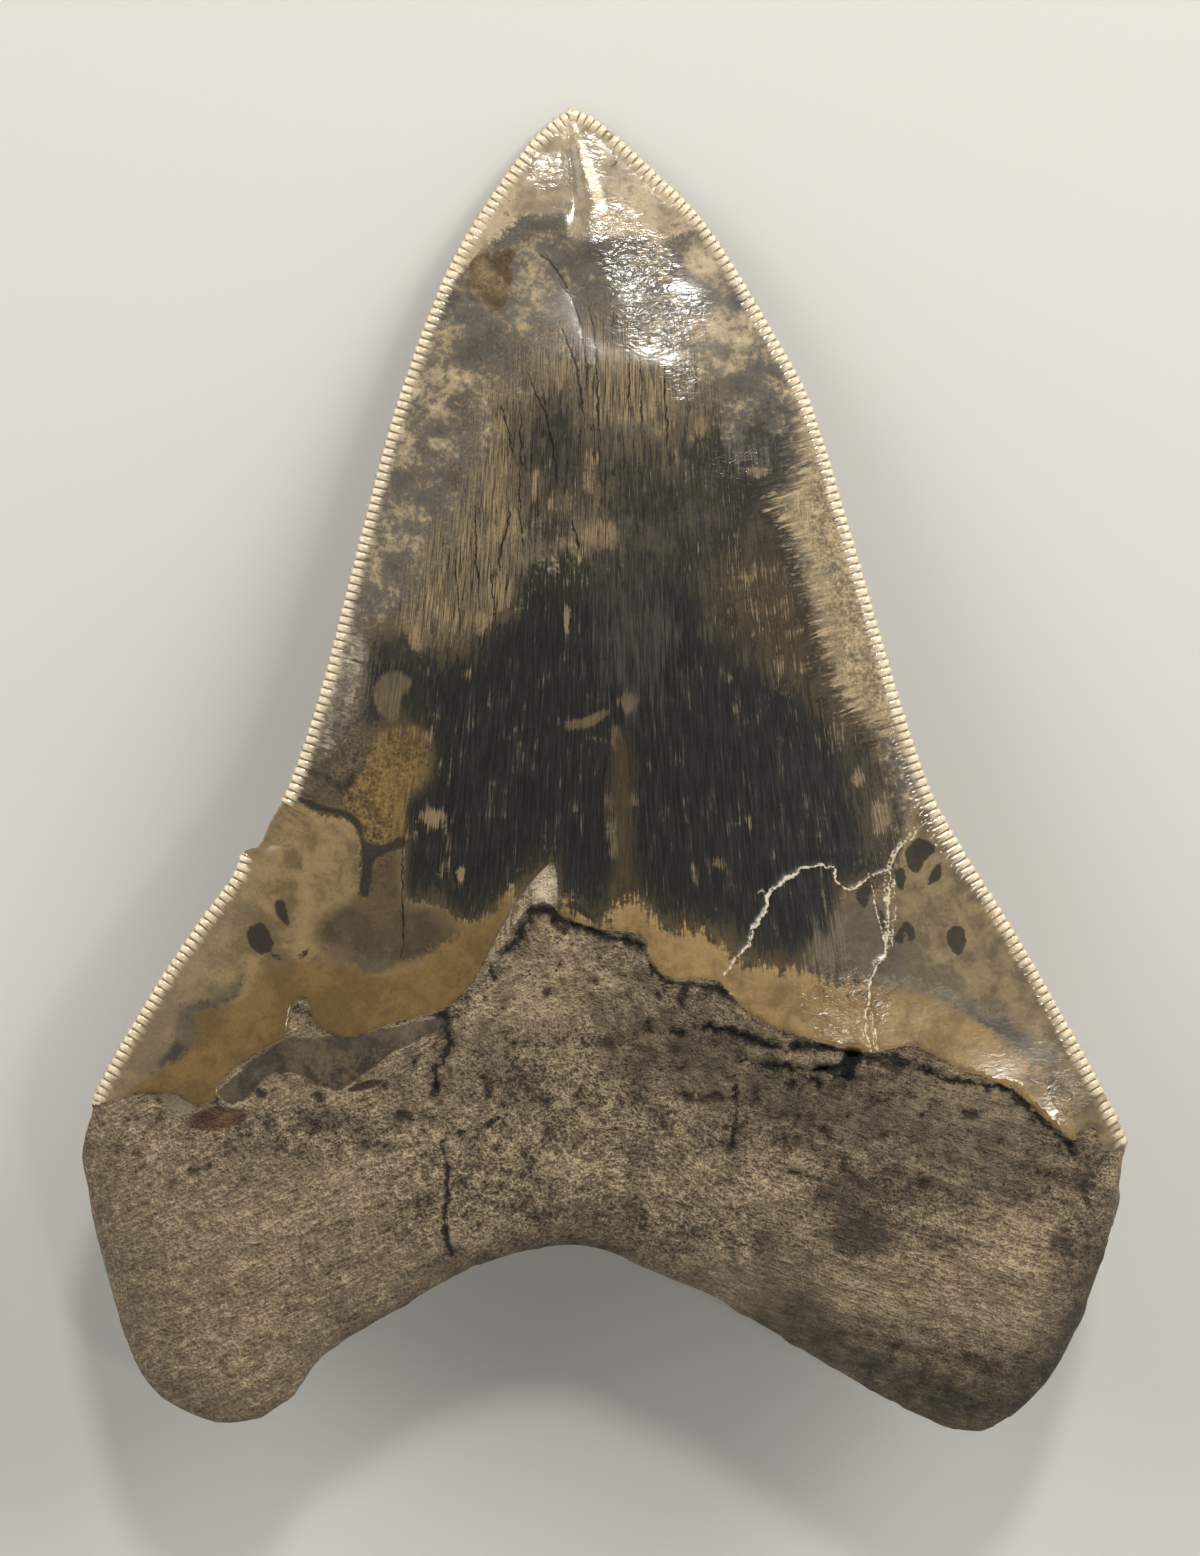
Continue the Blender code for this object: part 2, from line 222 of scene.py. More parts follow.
class Rim:
    # the whole margin of the tooth, from the left corner over the tip, round the root and back

    def __init__(self):
        random = np.random.default_rng(beads["seed"])
        left = smoothLine(outline["leftCrown"])[::-1]
        right = smoothLine(outline["rightCrown"])[::-1]
        crown = np.vstack([left, right[1:]])
        self.beadCount = round(lengthAlong(crown)[-1] / beads["pitch"])
        self.crown = placesAlong(crown, self.beadCount * beads["samples"] + 1)
        self.crownRun = lengthAlong(self.crown)
        self.inward = inwardOf(self.crown)
        least, more = beads["strength"]
        strength = least + more * random.random(self.beadCount)
        strength[random.random(self.beadCount) < beads["wornShare"]] = beads["wornStrength"]
        lowTop, lowEnd = onFace(beads["chippedPixels"])[:, 1]
        index = np.minimum(np.arange(len(self.crown)) // beads["samples"], self.beadCount - 1)
        phase = (np.arange(len(self.crown)) % beads["samples"]) / beads["samples"]
        self.bead = np.sqrt(np.clip(1 - (2 * phase - 1) ** 2, 0, 1)) * strength[index]
        chipped = (self.crown[:, 0] < 0) & (self.crown[:, 1] < lowTop) & (self.crown[:, 1] > lowEnd)
        self.bead[chipped] *= beads["chippedStrength"]
        root = [smoothLine(outline[side])[1:] for side in ("rightRoot", "arch", "leftRoot")]
        self.root = np.vstack([self.crown[-1:], *[line[::-1] for line in root]])
        rootCount = round(lengthAlong(self.root)[-1] / beads["rootStep"])
        self.root = placesAlong(self.root, rootCount)[1:-1]
        for _ in range(beads["rootSmoothings"]):
            self.root[1:-1] = (self.root[:-2] + 2 * self.root[1:-1] + self.root[2:]) / 4
        self.base = np.vstack([self.crown, self.root])
        outward = beads["out"] * self.bead - beads["sunk"] * (1 - self.bead)
        outward[[0, -1]] = 0
        worn = beads["rootWander"] * lumps(self.root, 0.35, 3, seed=3.0)
        rootInward = inwardOf(np.vstack([self.crown[-1:], self.root, self.crown[:1]]))[1:-1]
        crownRing = self.crown - self.inward * outward[:, None]
        self.ring = np.vstack([crownRing, self.root + rootInward * worn[:, None]])
        lowLeft, highLeft = [smoothLine(outline[side])[::-1] for side in ("leftRoot", "leftCrown")]
        lowRight, highRight = [smoothLine(outline[side]) for side in ("rightRoot", "rightCrown")]
        self.leftSide = np.vstack([lowLeft, highLeft[1:]])
        self.rightSide = np.vstack([lowRight, highRight[1:]])
        self.crownTree = placeTree(self.crown)
        self.tree = placeTree(self.base)

    def halfWidth(self, y):
        left = np.interp(y, np.maximum.accumulate(self.leftSide[:, 1]), self.leftSide[:, 0])
        right = np.interp(y, np.maximum.accumulate(self.rightSide[:, 1]), self.rightSide[:, 0])
        return (left + right) / 2, np.maximum((right - left) / 2, 0.05)

    def margin(self, points):
        return nearest(self.tree, points)[1]


rim = Rim()
print("rim:", len(rim.ring), "places,", rim.beadCount, "beads")

# marks on the front face, by photo pixels

enamelBorder = [
    (92, 1105), (117, 1101), (136, 1094), (175, 1094), (198, 1105), (217, 1098), (224, 1078), (259, 1052),
    (286, 1036), (293, 1006), (300, 999), (309, 1000), (316, 1022), (343, 1036), (366, 1032), (404, 1019),
    (443, 1010), (466, 990), (478, 974), (492, 946), (508, 916), (526, 888), (542, 870), (553, 862),
    (558, 880), (559, 912), (573, 921), (603, 929), (642, 935), (650, 960), (673, 979), (711, 979),
    (726, 990), (745, 1010), (772, 1025), (814, 1040), (860, 1052), (891, 1048), (914, 1046), (933, 1055),
    (956, 1067), (986, 1078), (1013, 1090), (1036, 1109), (1059, 1132), (1074, 1140), (1078, 1132),
    (1094, 1126), (1105, 1151), (1128, 1151),
]

# Each zone: its outline, how far it is frayed and how soft its edge is, both in millimetres, and the two
# colours that mix in it, as the eye reads them (0 to 255). Zones with through=True also show on the back.
zones = dict(
    tipCream=dict(
        ring=[(440, 290), (520, 90), (640, 90), (700, 200), (690, 230), (600, 235), (592, 215), (591, 232),
              (579, 240), (568, 232), (566, 211), (540, 213), (520, 214), (505, 230), (480, 250)],
        fray=0.3, soft=0.35, colours=[(168, 151, 124), (126, 115, 95)]),
    lowerCrown=dict(
        ring=[(330, 640), (420, 605), (520, 600), (700, 560), (830, 640), (880, 740), (900, 860),
              (905, 1065), (700, 1040), (500, 1015), (300, 1075), (200, 1115), (300, 800)],
        fray=0.9, soft=1.5, colours=[(104, 90, 66), (66, 59, 47)], through=True),
    leftDarkRim=dict(
        ring=[(335, 640), (360, 635), (400, 640), (410, 700), (372, 730), (365, 770), (345, 800),
              (300, 806), (285, 792), (300, 740), (318, 690)],
        fray=1.2, soft=1.4, colours=[(54, 50, 43), (92, 83, 68)]),
    tanStreaks=dict(
        ring=[(490, 400), (560, 350), (640, 330), (690, 370), (720, 420), (700, 470), (660, 520),
              (640, 560), (590, 570), (540, 560), (520, 610), (500, 640), (460, 655), (425, 650),
              (405, 620), (425, 560), (470, 500), (480, 450)],
        fray=1.6, soft=1.6, colours=[(118, 104, 80), (80, 73, 61)], through=True),
    smoky=dict(
        ring=[(515, 430), (560, 405), (600, 440), (650, 445), (700, 425), (740, 440), (785, 445),
              (795, 500), (800, 550), (812, 600), (828, 650), (850, 700), (880, 770), (900, 820),
              (890, 870), (700, 800), (560, 700), (470, 650), (520, 600), (560, 560), (600, 540),
              (600, 500), (560, 520), (525, 500)],
        fray=2.0, soft=1.2, colours=[(48, 46, 41), (72, 66, 56)], through=True),
    brownStreaks=dict(
        ring=[(700, 560), (760, 540), (800, 590), (820, 660), (840, 720), (860, 800), (830, 800),
              (790, 720), (740, 690), (700, 640)],
        fray=1.6, soft=1.8, colours=[(44, 41, 35), (74, 65, 51)]),
    core=dict(
        ring=[(362, 645), (400, 650), (440, 655), (480, 642), (515, 605), (530, 575), (555, 560),
              (600, 570), (640, 560), (680, 555), (700, 600), (720, 640), (760, 660), (800, 690),
              (830, 720), (845, 770), (858, 820), (868, 870), (850, 885), (838, 900), (842, 935),
              (830, 962), (790, 960), (750, 950), (735, 940), (715, 925), (690, 925), (660, 915),
              (645, 900), (618, 885), (600, 920), (580, 905), (562, 895), (556, 862), (535, 868),
              (515, 885), (498, 908), (470, 922), (455, 915), (440, 900), (408, 895), (405, 845),
              (404, 800), (432, 770), (430, 740), (410, 725), (370, 715), (362, 690)],
        fray=1.1, soft=0.7, colours=[(44, 43, 40), (36, 35, 33)], through=True),
    greyPatch=dict(
        ring=[(600, 570), (640, 575), (665, 600), (672, 650), (650, 690), (610, 690), (600, 640)],
        fray=1.2, soft=1.8, colours=[(62, 59, 54), (50, 48, 44)]),
    middleStreak=dict(
        ring=[(612, 735), (622, 728), (632, 760), (630, 800), (634, 840), (628, 905), (612, 900),
              (616, 850), (612, 800)],
        fray=0.5, soft=1.0, colours=[(56, 50, 41), (74, 64, 48)]),
    tanFleck=dict(
        ring=[(565, 722), (585, 718), (605, 710), (607, 716), (590, 727), (568, 730)],
        fray=0.1, soft=0.2, colours=[(94, 82, 61), (80, 70, 54)]),
    ochrePatch=dict(
        ring=[(348, 800), (368, 765), (380, 735), (415, 728), (430, 750), (424, 785), (406, 800),
              (404, 836), (385, 842), (368, 836), (352, 818)],
        fray=0.5, soft=0.6, colours=[(110, 90, 58), (84, 70, 48)]),
    greyBlob=dict(
        ring=[(374, 690), (382, 676), (402, 672), (411, 684), (402, 700), (398, 722), (385, 718),
              (376, 705)],
        fray=0.1, soft=0.25, colours=[(94, 82, 64), (80, 72, 58)]),
    leftLobe=dict(
        ring=[(285, 790), (300, 803), (325, 816), (350, 822), (360, 834), (362, 870), (366, 896),
              (404, 845), (406, 898), (440, 906), (470, 922), (498, 910), (515, 885), (500, 990),
              (440, 1015), (300, 1060), (200, 1115), (60, 1115), (240, 830)],
        fray=0.25, soft=0.15, colours=[(128, 109, 79), (96, 82, 60)]),
    leftRimGrey=dict(
        ring=[(60, 1120), (240, 840), (262, 860), (240, 930), (215, 985), (190, 1040), (150, 1080),
              (110, 1112)],
        fray=0.2, soft=2.2, colours=[(126, 110, 84), (108, 96, 76)]),
    greyTan=dict(
        ring=[(366, 896), (372, 868), (400, 848), (405, 900), (440, 908), (455, 925), (478, 935),
              (440, 955), (400, 965), (372, 970), (350, 955), (318, 942), (322, 920), (345, 905)],
        fray=0.3, soft=1.0, colours=[(70, 60, 47), (84, 72, 56)]),
    ochreLeft=dict(
        ring=[(185, 1030), (200, 1003), (240, 1000), (262, 975), (300, 960), (345, 962), (380, 975),
              (420, 962), (450, 940), (485, 918), (510, 900), (490, 1000), (440, 1030), (300, 1070),
              (200, 1120), (100, 1130), (150, 1075)],
        fray=0.7, soft=0.5, colours=[(110, 90, 58), (94, 77, 50)]),
    leftBlue=dict(
        ring=[(243, 975), (226, 992), (196, 1002), (176, 1012), (178, 1040), (150, 1064), (148, 1072),
              (184, 1052), (196, 1034), (196, 1014), (216, 1006), (236, 998)],
        fray=0.4, soft=0.5, colours=[(64, 60, 52), (88, 80, 66)]),
    edgeBlue=dict(
        ring=[(322, 944), (345, 948), (373, 960), (392, 950), (389, 962), (374, 974), (348, 960),
              (325, 952)],
        fray=0.3, soft=0.4, colours=[(80, 72, 60), (92, 80, 64)]),
    rightLobe=dict(
        ring=[(838, 905), (850, 885), (870, 890), (895, 880), (940, 810), (1140, 1160), (1060, 1150),
              (900, 1060), (870, 1000), (850, 960), (842, 935)],
        fray=0.6, soft=0.5, colours=[(126, 110, 84), (94, 84, 66)]),
    greyTanRight=dict(
        ring=[(836, 905), (850, 888), (880, 905), (905, 950), (900, 985), (860, 985), (830, 975),
              (800, 960)],
        fray=1.0, soft=1.0, colours=[(97, 87, 71), (82, 75, 63)]),
    ochreRight=dict(
        ring=[(562, 900), (598, 925), (618, 905), (645, 905), (660, 928), (700, 932), (722, 948),
              (745, 965), (800, 972), (845, 985), (880, 982), (925, 985), (960, 1003), (1000, 1030),
              (1040, 1075), (1070, 1120), (1060, 1160), (860, 1080), (740, 1030), (560, 950)],
        fray=1.0, soft=0.35, colours=[(138, 115, 79), (112, 92, 63)]),
    rightBlue=dict(
        ring=[(872, 975), (925, 980), (960, 996), (1000, 1012), (1030, 1040), (1034, 1058), (1016, 1050),
              (990, 1028), (955, 1008), (920, 992), (880, 986)],
        fray=0.5, soft=0.5, colours=[(78, 73, 64), (108, 98, 80)]),
    furry=dict(
        ring=[(770, 500), (800, 545), (812, 580), (824, 640), (836, 690), (870, 720), (910, 740),
              (880, 600), (860, 500), (820, 400), (790, 360), (800, 420), (800, 480)],
        fray=0.9, soft=0.9, colours=[(152, 135, 107), (118, 107, 87)]),
    rimGlint=dict(
        ring=[(338, 632), (352, 640), (360, 660), (352, 690), (338, 715), (322, 715), (328, 670)],
        fray=1.8, soft=1.6, colours=[(96, 88, 76), (186, 176, 156)]),
    # painted highlight: the bright wedge of the tip's crease painted pale
    wedge=dict(
        ring=[(570, 113), (577, 128), (590, 156), (601, 186), (607, 208), (597, 207), (587, 176),
              (577, 140)],
        fray=0.0, soft=0.2, colours=[(220, 204, 174), (204, 188, 158)]),
    pittedSpot=dict(
        ring=[(467, 280), (470, 262), (480, 253), (496, 251), (515, 246), (514, 255), (509, 264),
              (512, 276), (509, 294), (501, 308), (489, 311), (480, 304), (469, 293)],
        fray=0.05, soft=0.15, colours=[(78, 66, 48), (124, 107, 82)]),
)

# Soft patches of one tone, on the crown and on the root: middle, half width and half height in photo
# pixels, and strength.
dabs = dict(
    paleDabs=[
        (545, 290, 28, 24, 0.6), (452, 330, 18, 13, 0.9), (440, 352, 13, 10, 0.8), (450, 378, 20, 15, 1.0),
        (416, 386, 20, 17, 1.0), (426, 412, 16, 11, 0.8), (402, 440, 14, 18, 0.8), (701, 262, 22, 15, 1.0),
        (738, 330, 36, 20, 1.0), (768, 356, 16, 9, 0.9), (786, 392, 9, 13, 0.8), (640, 180, 40, 34, 0.8),
        (410, 515, 22, 11, 0.6), (394, 541, 20, 12, 0.7), (430, 547, 18, 12, 0.6), (378, 560, 10, 22, 0.5),
        (440, 441, 16, 9, 0.6), (345, 700, 12, 30, 0.6), (660, 235, 14, 16, 0.5),
    ],
    blueDabs=[
        (545, 222, 24, 10, 1.0), (585, 252, 24, 18, 1.0), (560, 242, 24, 12, 0.9), (602, 274, 20, 22, 0.8),
        (500, 230, 15, 13, 0.7), (446, 300, 15, 14, 0.8), (440, 321, 10, 8, 0.7), (486, 346, 36, 26, 1.0),
        (470, 321, 20, 14, 0.8), (522, 362, 22, 20, 0.6), (460, 396, 16, 16, 0.7), (470, 421, 15, 16, 0.8),
        (412, 428, 7, 7, 1.2), (440, 430, 11, 8, 0.8), (482, 456, 22, 14, 0.9), (446, 482, 28, 13, 0.9),
        (400, 481, 17, 12, 0.8), (386, 478, 8, 10, 0.9), (432, 507, 26, 14, 0.8), (470, 511, 14, 10, 0.6),
        (400, 561, 22, 12, 0.7), (386, 601, 14, 20, 0.7), (411, 586, 20, 14, 0.7), (396, 613, 12, 10, 1.0),
        (690, 236, 12, 10, 0.8), (712, 301, 15, 14, 0.7), (745, 300, 18, 10, 0.7), (771, 366, 22, 12, 1.0),
        (746, 386, 20, 11, 0.8), (781, 408, 18, 13, 0.8), (720, 346, 15, 12, 0.6), (612, 151, 10, 14, 0.9),
        (660, 192, 8, 7, 0.7), (641, 214, 10, 8, 0.7), (760, 440, 30, 24, 0.9), (790, 470, 20, 24, 0.8),
        (580, 300, 60, 50, 0.4), (440, 560, 70, 90, 0.3), (350, 620, 12, 24, 0.6),
    ],
    ochreDabs=[
        (625, 366, 34, 24, 0.8), (642, 402, 30, 26, 0.9), (602, 402, 16, 20, 0.7), (662, 422, 20, 20, 0.7),
        (546, 331, 20, 16, 0.5), (561, 371, 22, 16, 0.5), (590, 470, 9, 25, 0.9), (500, 426, 12, 14, 0.8),
        (500, 468, 16, 17, 0.7), (508, 529, 16, 21, 0.95), (471, 546, 14, 14, 0.7),
        (600, 536, 25, 15, 0.95), (580, 551, 10, 10, 0.7), (441, 596, 18, 24, 0.7),
        (500, 591, 15, 23, 0.85), (470, 621, 30, 14, 0.6), (416, 641, 8, 15, 0.7), (758, 472, 14, 7, 0.9),
        (700, 426, 9, 12, 0.8), (536, 482, 12, 20, 0.55), (566, 618, 5, 13, 1.0), (626, 702, 12, 12, 0.8),
        (617, 739, 8, 15, 0.8), (619, 832, 10, 34, 0.75), (622, 800, 14, 15, 0.55),
        (440, 819, 16, 12, 0.85), (446, 869, 12, 10, 0.65), (461, 873, 5, 8, 1.0), (412, 831, 10, 14, 0.6),
        (426, 746, 10, 17, 0.55), (858, 781, 8, 8, 0.9), (880, 816, 13, 26, 0.85), (716, 862, 7, 8, 0.65),
        (750, 822, 10, 8, 0.5), (762, 592, 44, 40, 0.42), (782, 652, 34, 44, 0.40),
        (840, 720, 20, 34, 0.42), (560, 502, 16, 16, 0.45), (490, 500, 14, 20, 0.5),
    ],
    darkDabs=[
        (561, 431, 22, 22, 0.9), (546, 406, 12, 10, 0.6), (526, 456, 16, 16, 0.6), (701, 456, 32, 17, 0.9),
        (746, 482, 32, 27, 0.8), (731, 502, 32, 20, 0.6), (546, 531, 26, 18, 0.8), (621, 471, 22, 17, 0.6),
        (651, 502, 42, 26, 0.8), (702, 541, 52, 30, 0.6), (641, 561, 30, 14, 0.8), (576, 591, 42, 20, 0.8),
        (541, 571, 20, 14, 0.6), (786, 522, 14, 26, 0.8), (771, 471, 14, 14, 0.5), (391, 646, 30, 14, 0.8),
        (416, 691, 14, 30, 0.8), (400, 656, 32, 11, 0.9), (861, 741, 15, 17, 0.5), (792, 561, 12, 42, 0.6),
        (731, 616, 17, 15, 0.7), (366, 720, 14, 24, 0.7), (345, 780, 24, 14, 0.6), (330, 730, 14, 30, 0.4),
    ],
    rootPale=[
        (545, 1000, 34, 26, 0.9), (620, 1005, 60, 26, 0.8), (590, 1080, 46, 34, 0.5),
        (440, 1150, 60, 30, 0.4), (560, 1170, 60, 26, 0.5), (350, 1180, 50, 24, 0.4),
        (280, 1210, 40, 30, 0.3), (480, 1230, 50, 20, 0.5), (1030, 1160, 26, 14, 1.0),
        (1000, 1250, 60, 40, 0.5), (900, 1120, 50, 20, 0.4), (760, 1180, 60, 30, 0.5),
        (690, 1090, 40, 24, 0.6), (1010, 1330, 50, 24, 0.5), (170, 1150, 40, 22, 0.3),
        (250, 1370, 40, 16, 0.4), (880, 1310, 60, 24, 0.4),
    ],
    rootCrumbly=[
        (600, 1050, 190, 130, 1.0), (760, 1110, 140, 80, 0.9), (500, 1190, 110, 80, 0.9),
        (600, 1230, 200, 40, 0.7), (420, 1340, 60, 40, 0.7), (330, 1130, 180, 30, 0.6),
        (880, 1180, 120, 80, 0.7), (1060, 1170, 70, 40, 0.9), (900, 1380, 200, 50, 0.7),
        (1090, 1260, 30, 100, 0.7),
    ],
    rootStain=[
        (852, 1196, 46, 30, 0.8), (862, 1234, 44, 26, 1.0), (905, 1190, 30, 22, 0.6),
        (770, 1240, 24, 18, 0.6), (450, 1040, 16, 34, 0.9), (476, 1060, 34, 22, 0.6),
        (520, 1090, 30, 20, 0.4), (640, 1070, 26, 18, 0.5), (1082, 1180, 14, 16, 0.9),
        (1062, 1244, 12, 18, 0.8), (974, 1182, 12, 10, 0.8), (790, 1100, 36, 20, 0.6),
        (700, 1050, 30, 18, 0.5), (730, 1150, 12, 40, 0.5), (600, 1215, 60, 20, 0.4),
        (480, 1280, 60, 20, 0.5), (330, 1120, 60, 14, 0.3), (240, 1150, 26, 10, 0.3),
        (560, 1255, 70, 14, 0.6), (380, 1340, 40, 18, 0.6),
    ],
)

# Small near-black marks.
darkMarks = [
    [(286, 788), (305, 799), (330, 807), (350, 812), (362, 824), (366, 841), (385, 845), (404, 834),
     (404, 848), (388, 852), (373, 864), (371, 893), (365, 899), (360, 888), (363, 868), (362, 846),
     (357, 829), (345, 817), (325, 812), (303, 804)],
    [(250, 927), (260, 921), (268, 928), (275, 944), (264, 954), (252, 948), (247, 936)],
    [(277, 900), (286, 901), (291, 925), (284, 924), (275, 908)],
    [(268, 950), (285, 957), (278, 960)],
    [(296, 957), (310, 948), (305, 957)],
    [(853, 890), (870, 884), (869, 898), (863, 908), (857, 900)],
    [(893, 938), (903, 921), (912, 924), (915, 938), (908, 944), (905, 932), (901, 946)],
    [(945, 936), (953, 925), (964, 930), (962, 955), (950, 950)],
    [(893, 870), (904, 868), (903, 890), (897, 888)],
    [(905, 850), (918, 838), (930, 842), (936, 850), (925, 860), (918, 872), (908, 868)],
    [(926, 884), (930, 874), (938, 862), (942, 868), (938, 880)],
    [(876, 905), (884, 915), (886, 930), (880, 928)],
    [(565, 905), (575, 900), (590, 912), (600, 926), (585, 915)],
]

# Cracks: a line, its half width at the start and at the end in millimetres, and its depth.
whiteCracks = [
    ([(725, 975), (735, 958), (748, 945), (753, 928), (766, 908), (767, 896), (780, 882),
      (798, 870)], 0.07, 0.16, 0.10),
    ([(798, 870), (821, 864), (826, 868), (833, 866), (836, 880), (850, 890), (867, 879),
      (890, 868)], 0.11, 0.07, 0.06),
    ([(933, 816), (912, 836), (898, 850), (890, 868), (888, 900), (888, 925),
      (883, 956)], 0.05, 0.11, 0.05),
    ([(883, 956), (871, 975), (867, 1002), (865, 1025), (870, 1050)], 0.10, 0.08, 0.08),
    ([(867, 1002), (873, 1022), (877, 1048)], 0.07, 0.05, 0.06),
    ([(916, 826), (897, 846), (885, 872), (884, 910), (889, 940)], 0.03, 0.05, 0.03),
    ([(868, 872), (874, 900), (878, 920), (885, 942)], 0.05, 0.07, 0.04),
    ([(893, 880), (895, 910), (890, 945)], 0.03, 0.04, 0.03),
    ([(757, 892), (762, 888), (767, 896)], 0.04, 0.07, 0.04),
]
darkCracks = [
    ([(541, 252), (556, 268), (566, 284), (573, 296)], 0.05, 0.06, 0.03),
    ([(560, 283), (573, 302), (582, 332), (586, 362), (588, 395)], 0.05, 0.10, 0.05),
    ([(555, 312), (565, 338), (575, 362), (580, 392), (585, 425)], 0.05, 0.10, 0.05),
    ([(588, 302), (594, 335), (598, 385), (600, 440)], 0.06, 0.08, 0.05),
    ([(526, 369), (536, 392), (545, 415), (552, 442), (556, 472)], 0.05, 0.10, 0.05),
    ([(540, 380), (546, 410), (549, 432)], 0.05, 0.06, 0.04),
    ([(628, 343), (630, 380), (628, 418)], 0.05, 0.08, 0.04),
    ([(640, 350), (641, 390), (643, 440)], 0.05, 0.08, 0.04),
    ([(663, 350), (665, 400), (668, 460)], 0.05, 0.08, 0.04),
    ([(571, 518), (576, 540), (579, 560)], 0.08, 0.10, 0.06),
    ([(507, 498), (509, 520), (503, 542), (500, 562), (498, 582)], 0.08, 0.10, 0.07),
    ([(519, 400), (521, 450), (520, 500), (524, 560)], 0.05, 0.06, 0.05),
    ([(500, 402), (508, 430), (515, 462)], 0.05, 0.06, 0.04),
    ([(455, 560), (459, 600), (461, 632)], 0.05, 0.06, 0.04),
    ([(475, 500), (477, 560), (480, 610)], 0.05, 0.06, 0.04),
    ([(490, 560), (494, 600), (497, 630)], 0.05, 0.06, 0.04),
    ([(405, 838), (403, 870), (404, 930), (402, 960)], 0.05, 0.06, 0.03),
    ([(606, 142), (612, 148), (615, 158), (612, 166)], 0.13, 0.08, 0.03),
]
# Dark hollows along the enamel's lower border and in the root; the near-black in them is painted shade.
rootCracks = [
    ([(706, 1025), (735, 1032), (771, 1048), (812, 1046), (856, 1054)], 0.22, 0.20, 0.5),
    ([(740, 1060), (790, 1068), (820, 1070), (848, 1079)], 0.10, 0.30, 0.5),
    ([(867, 1056), (900, 1062), (935, 1076), (975, 1084), (1013, 1090)], 0.22, 0.12, 0.45),
    ([(1013, 1090), (1032, 1112), (1060, 1138), (1074, 1146)], 0.12, 0.16, 0.3),
    ([(560, 917), (580, 926), (606, 936), (640, 944)], 0.26, 0.20, 0.5),
    ([(519, 935), (530, 918), (548, 909), (560, 917)], 0.30, 0.34, 0.7),
    ([(500, 955), (512, 945), (519, 935)], 0.12, 0.25, 0.4),
    ([(650, 962), (668, 982), (700, 985), (730, 992)], 0.10, 0.16, 0.3),
    ([(447, 1120), (445, 1150), (448, 1190), (444, 1225), (450, 1258)], 0.0, 0.03, 0.2),
    ([(733, 1075), (736, 1105), (731, 1150)], 0.05, 0.0, 0.2),
    ([(437, 1012), (447, 1020), (449, 1050), (437, 1070), (436, 1092)], 0.26, 0.20, 0.25),
    ([(450, 1134), (480, 1128), (500, 1118)], 0.0, 0.0, 0.15),
]

crackForm = dict(step=0.3, wander=0.12, wanderByWidth=1.4, wanderScale=1.3, haloWide=4)

rootZones = dict(
    rootCream=dict(
        ring=[(520, 960), (545, 925), (600, 940), (640, 955), (660, 985), (640, 1010), (570, 1030),
              (480, 1050), (450, 1090), (440, 1050), (470, 1010), (500, 990)],
        fray=1.2, soft=1.6, colours=[(118, 103, 80), (184, 164, 130)]),
    # painted shade: the root's lower end made darker
    rootDim=dict(
        ring=[(760, 1330), (860, 1380), (960, 1445), (1060, 1430), (1120, 1250), (1090, 1280), (1040, 1360),
              (960, 1370), (860, 1330), (780, 1290)],
        fray=1.2, soft=3.0, colours=[(46, 41, 33), (70, 62, 50)]),
    rootGrey=dict(
        ring=[(640, 1000), (720, 1020), (860, 1080), (1000, 1110), (1080, 1160), (1000, 1180), (880, 1150),
              (760, 1110), (660, 1080), (600, 1040)],
        fray=1.2, soft=1.8, colours=[(84, 74, 60), (120, 106, 84)]),
    polished=dict(
        ring=[(216, 1092), (230, 1078), (262, 1054), (292, 1036), (330, 1036), (385, 1027), (427, 1017),
              (446, 1024), (420, 1040), (385, 1058), (350, 1086), (325, 1088), (304, 1076), (273, 1073),
              (245, 1100), (228, 1104)],
        fray=0.1, soft=0.2, colours=[(80, 69, 50), (44, 38, 28)]),
    polishedSmall=dict(
        ring=[(158, 1096), (175, 1094), (196, 1104), (190, 1114), (172, 1112)],
        fray=0.0, soft=0.2, colours=[(96, 88, 74), (112, 100, 80)]),
    redChip=dict(
        ring=[(184, 1126), (196, 1112), (220, 1106), (246, 1112), (240, 1124), (210, 1130)],
        fray=0.0, soft=0.15, colours=[(72, 50, 38), (100, 74, 52)]),
    redSliver=dict(
        ring=[(344, 1092), (358, 1082), (384, 1079), (370, 1088)],
        fray=0.0, soft=0.12, colours=[(56, 42, 32), (70, 50, 38)]),
)
hole = dict(ring=[(846, 1046), (860, 1048), (862, 1058), (855, 1068), (852, 1080), (842, 1078), (838, 1070),
                  (815, 1072), (812, 1067), (838, 1062)], depth=1.3)
whiteDot = dict(place=(719, 1052), radius=0.45, lift=0.2)
whiteBump = dict(place=(305, 1008), radius=0.7, lift=0.25)

# The tip's crease: its groove, and the ridge and wedge to its right.
crease = dict(groove=[(569, 112), (571, 150), (575, 205)], ridge=[(570, 112), (580, 160), (589, 203)],
              wedgeEnd=[(572, 112), (591, 160), (606, 206)], depth=0.22, slope=0.068)
# Where the enamel is finely crinkled.
crinkled = [
    (612, 226, 26, 22, 0.9), (638, 266, 34, 36, 1.0), (656, 316, 42, 32, 1.0), (684, 378, 20, 24, 0.9),
    (545, 170, 26, 16, 0.7), (560, 126, 12, 14, 0.6), (590, 160, 11, 46, 0.5), (832, 1008, 44, 36, 0.9),
    (1074, 1094, 22, 26, 1.0), (745, 465, 36, 26, 0.4), (350, 680, 30, 50, 0.5),
]
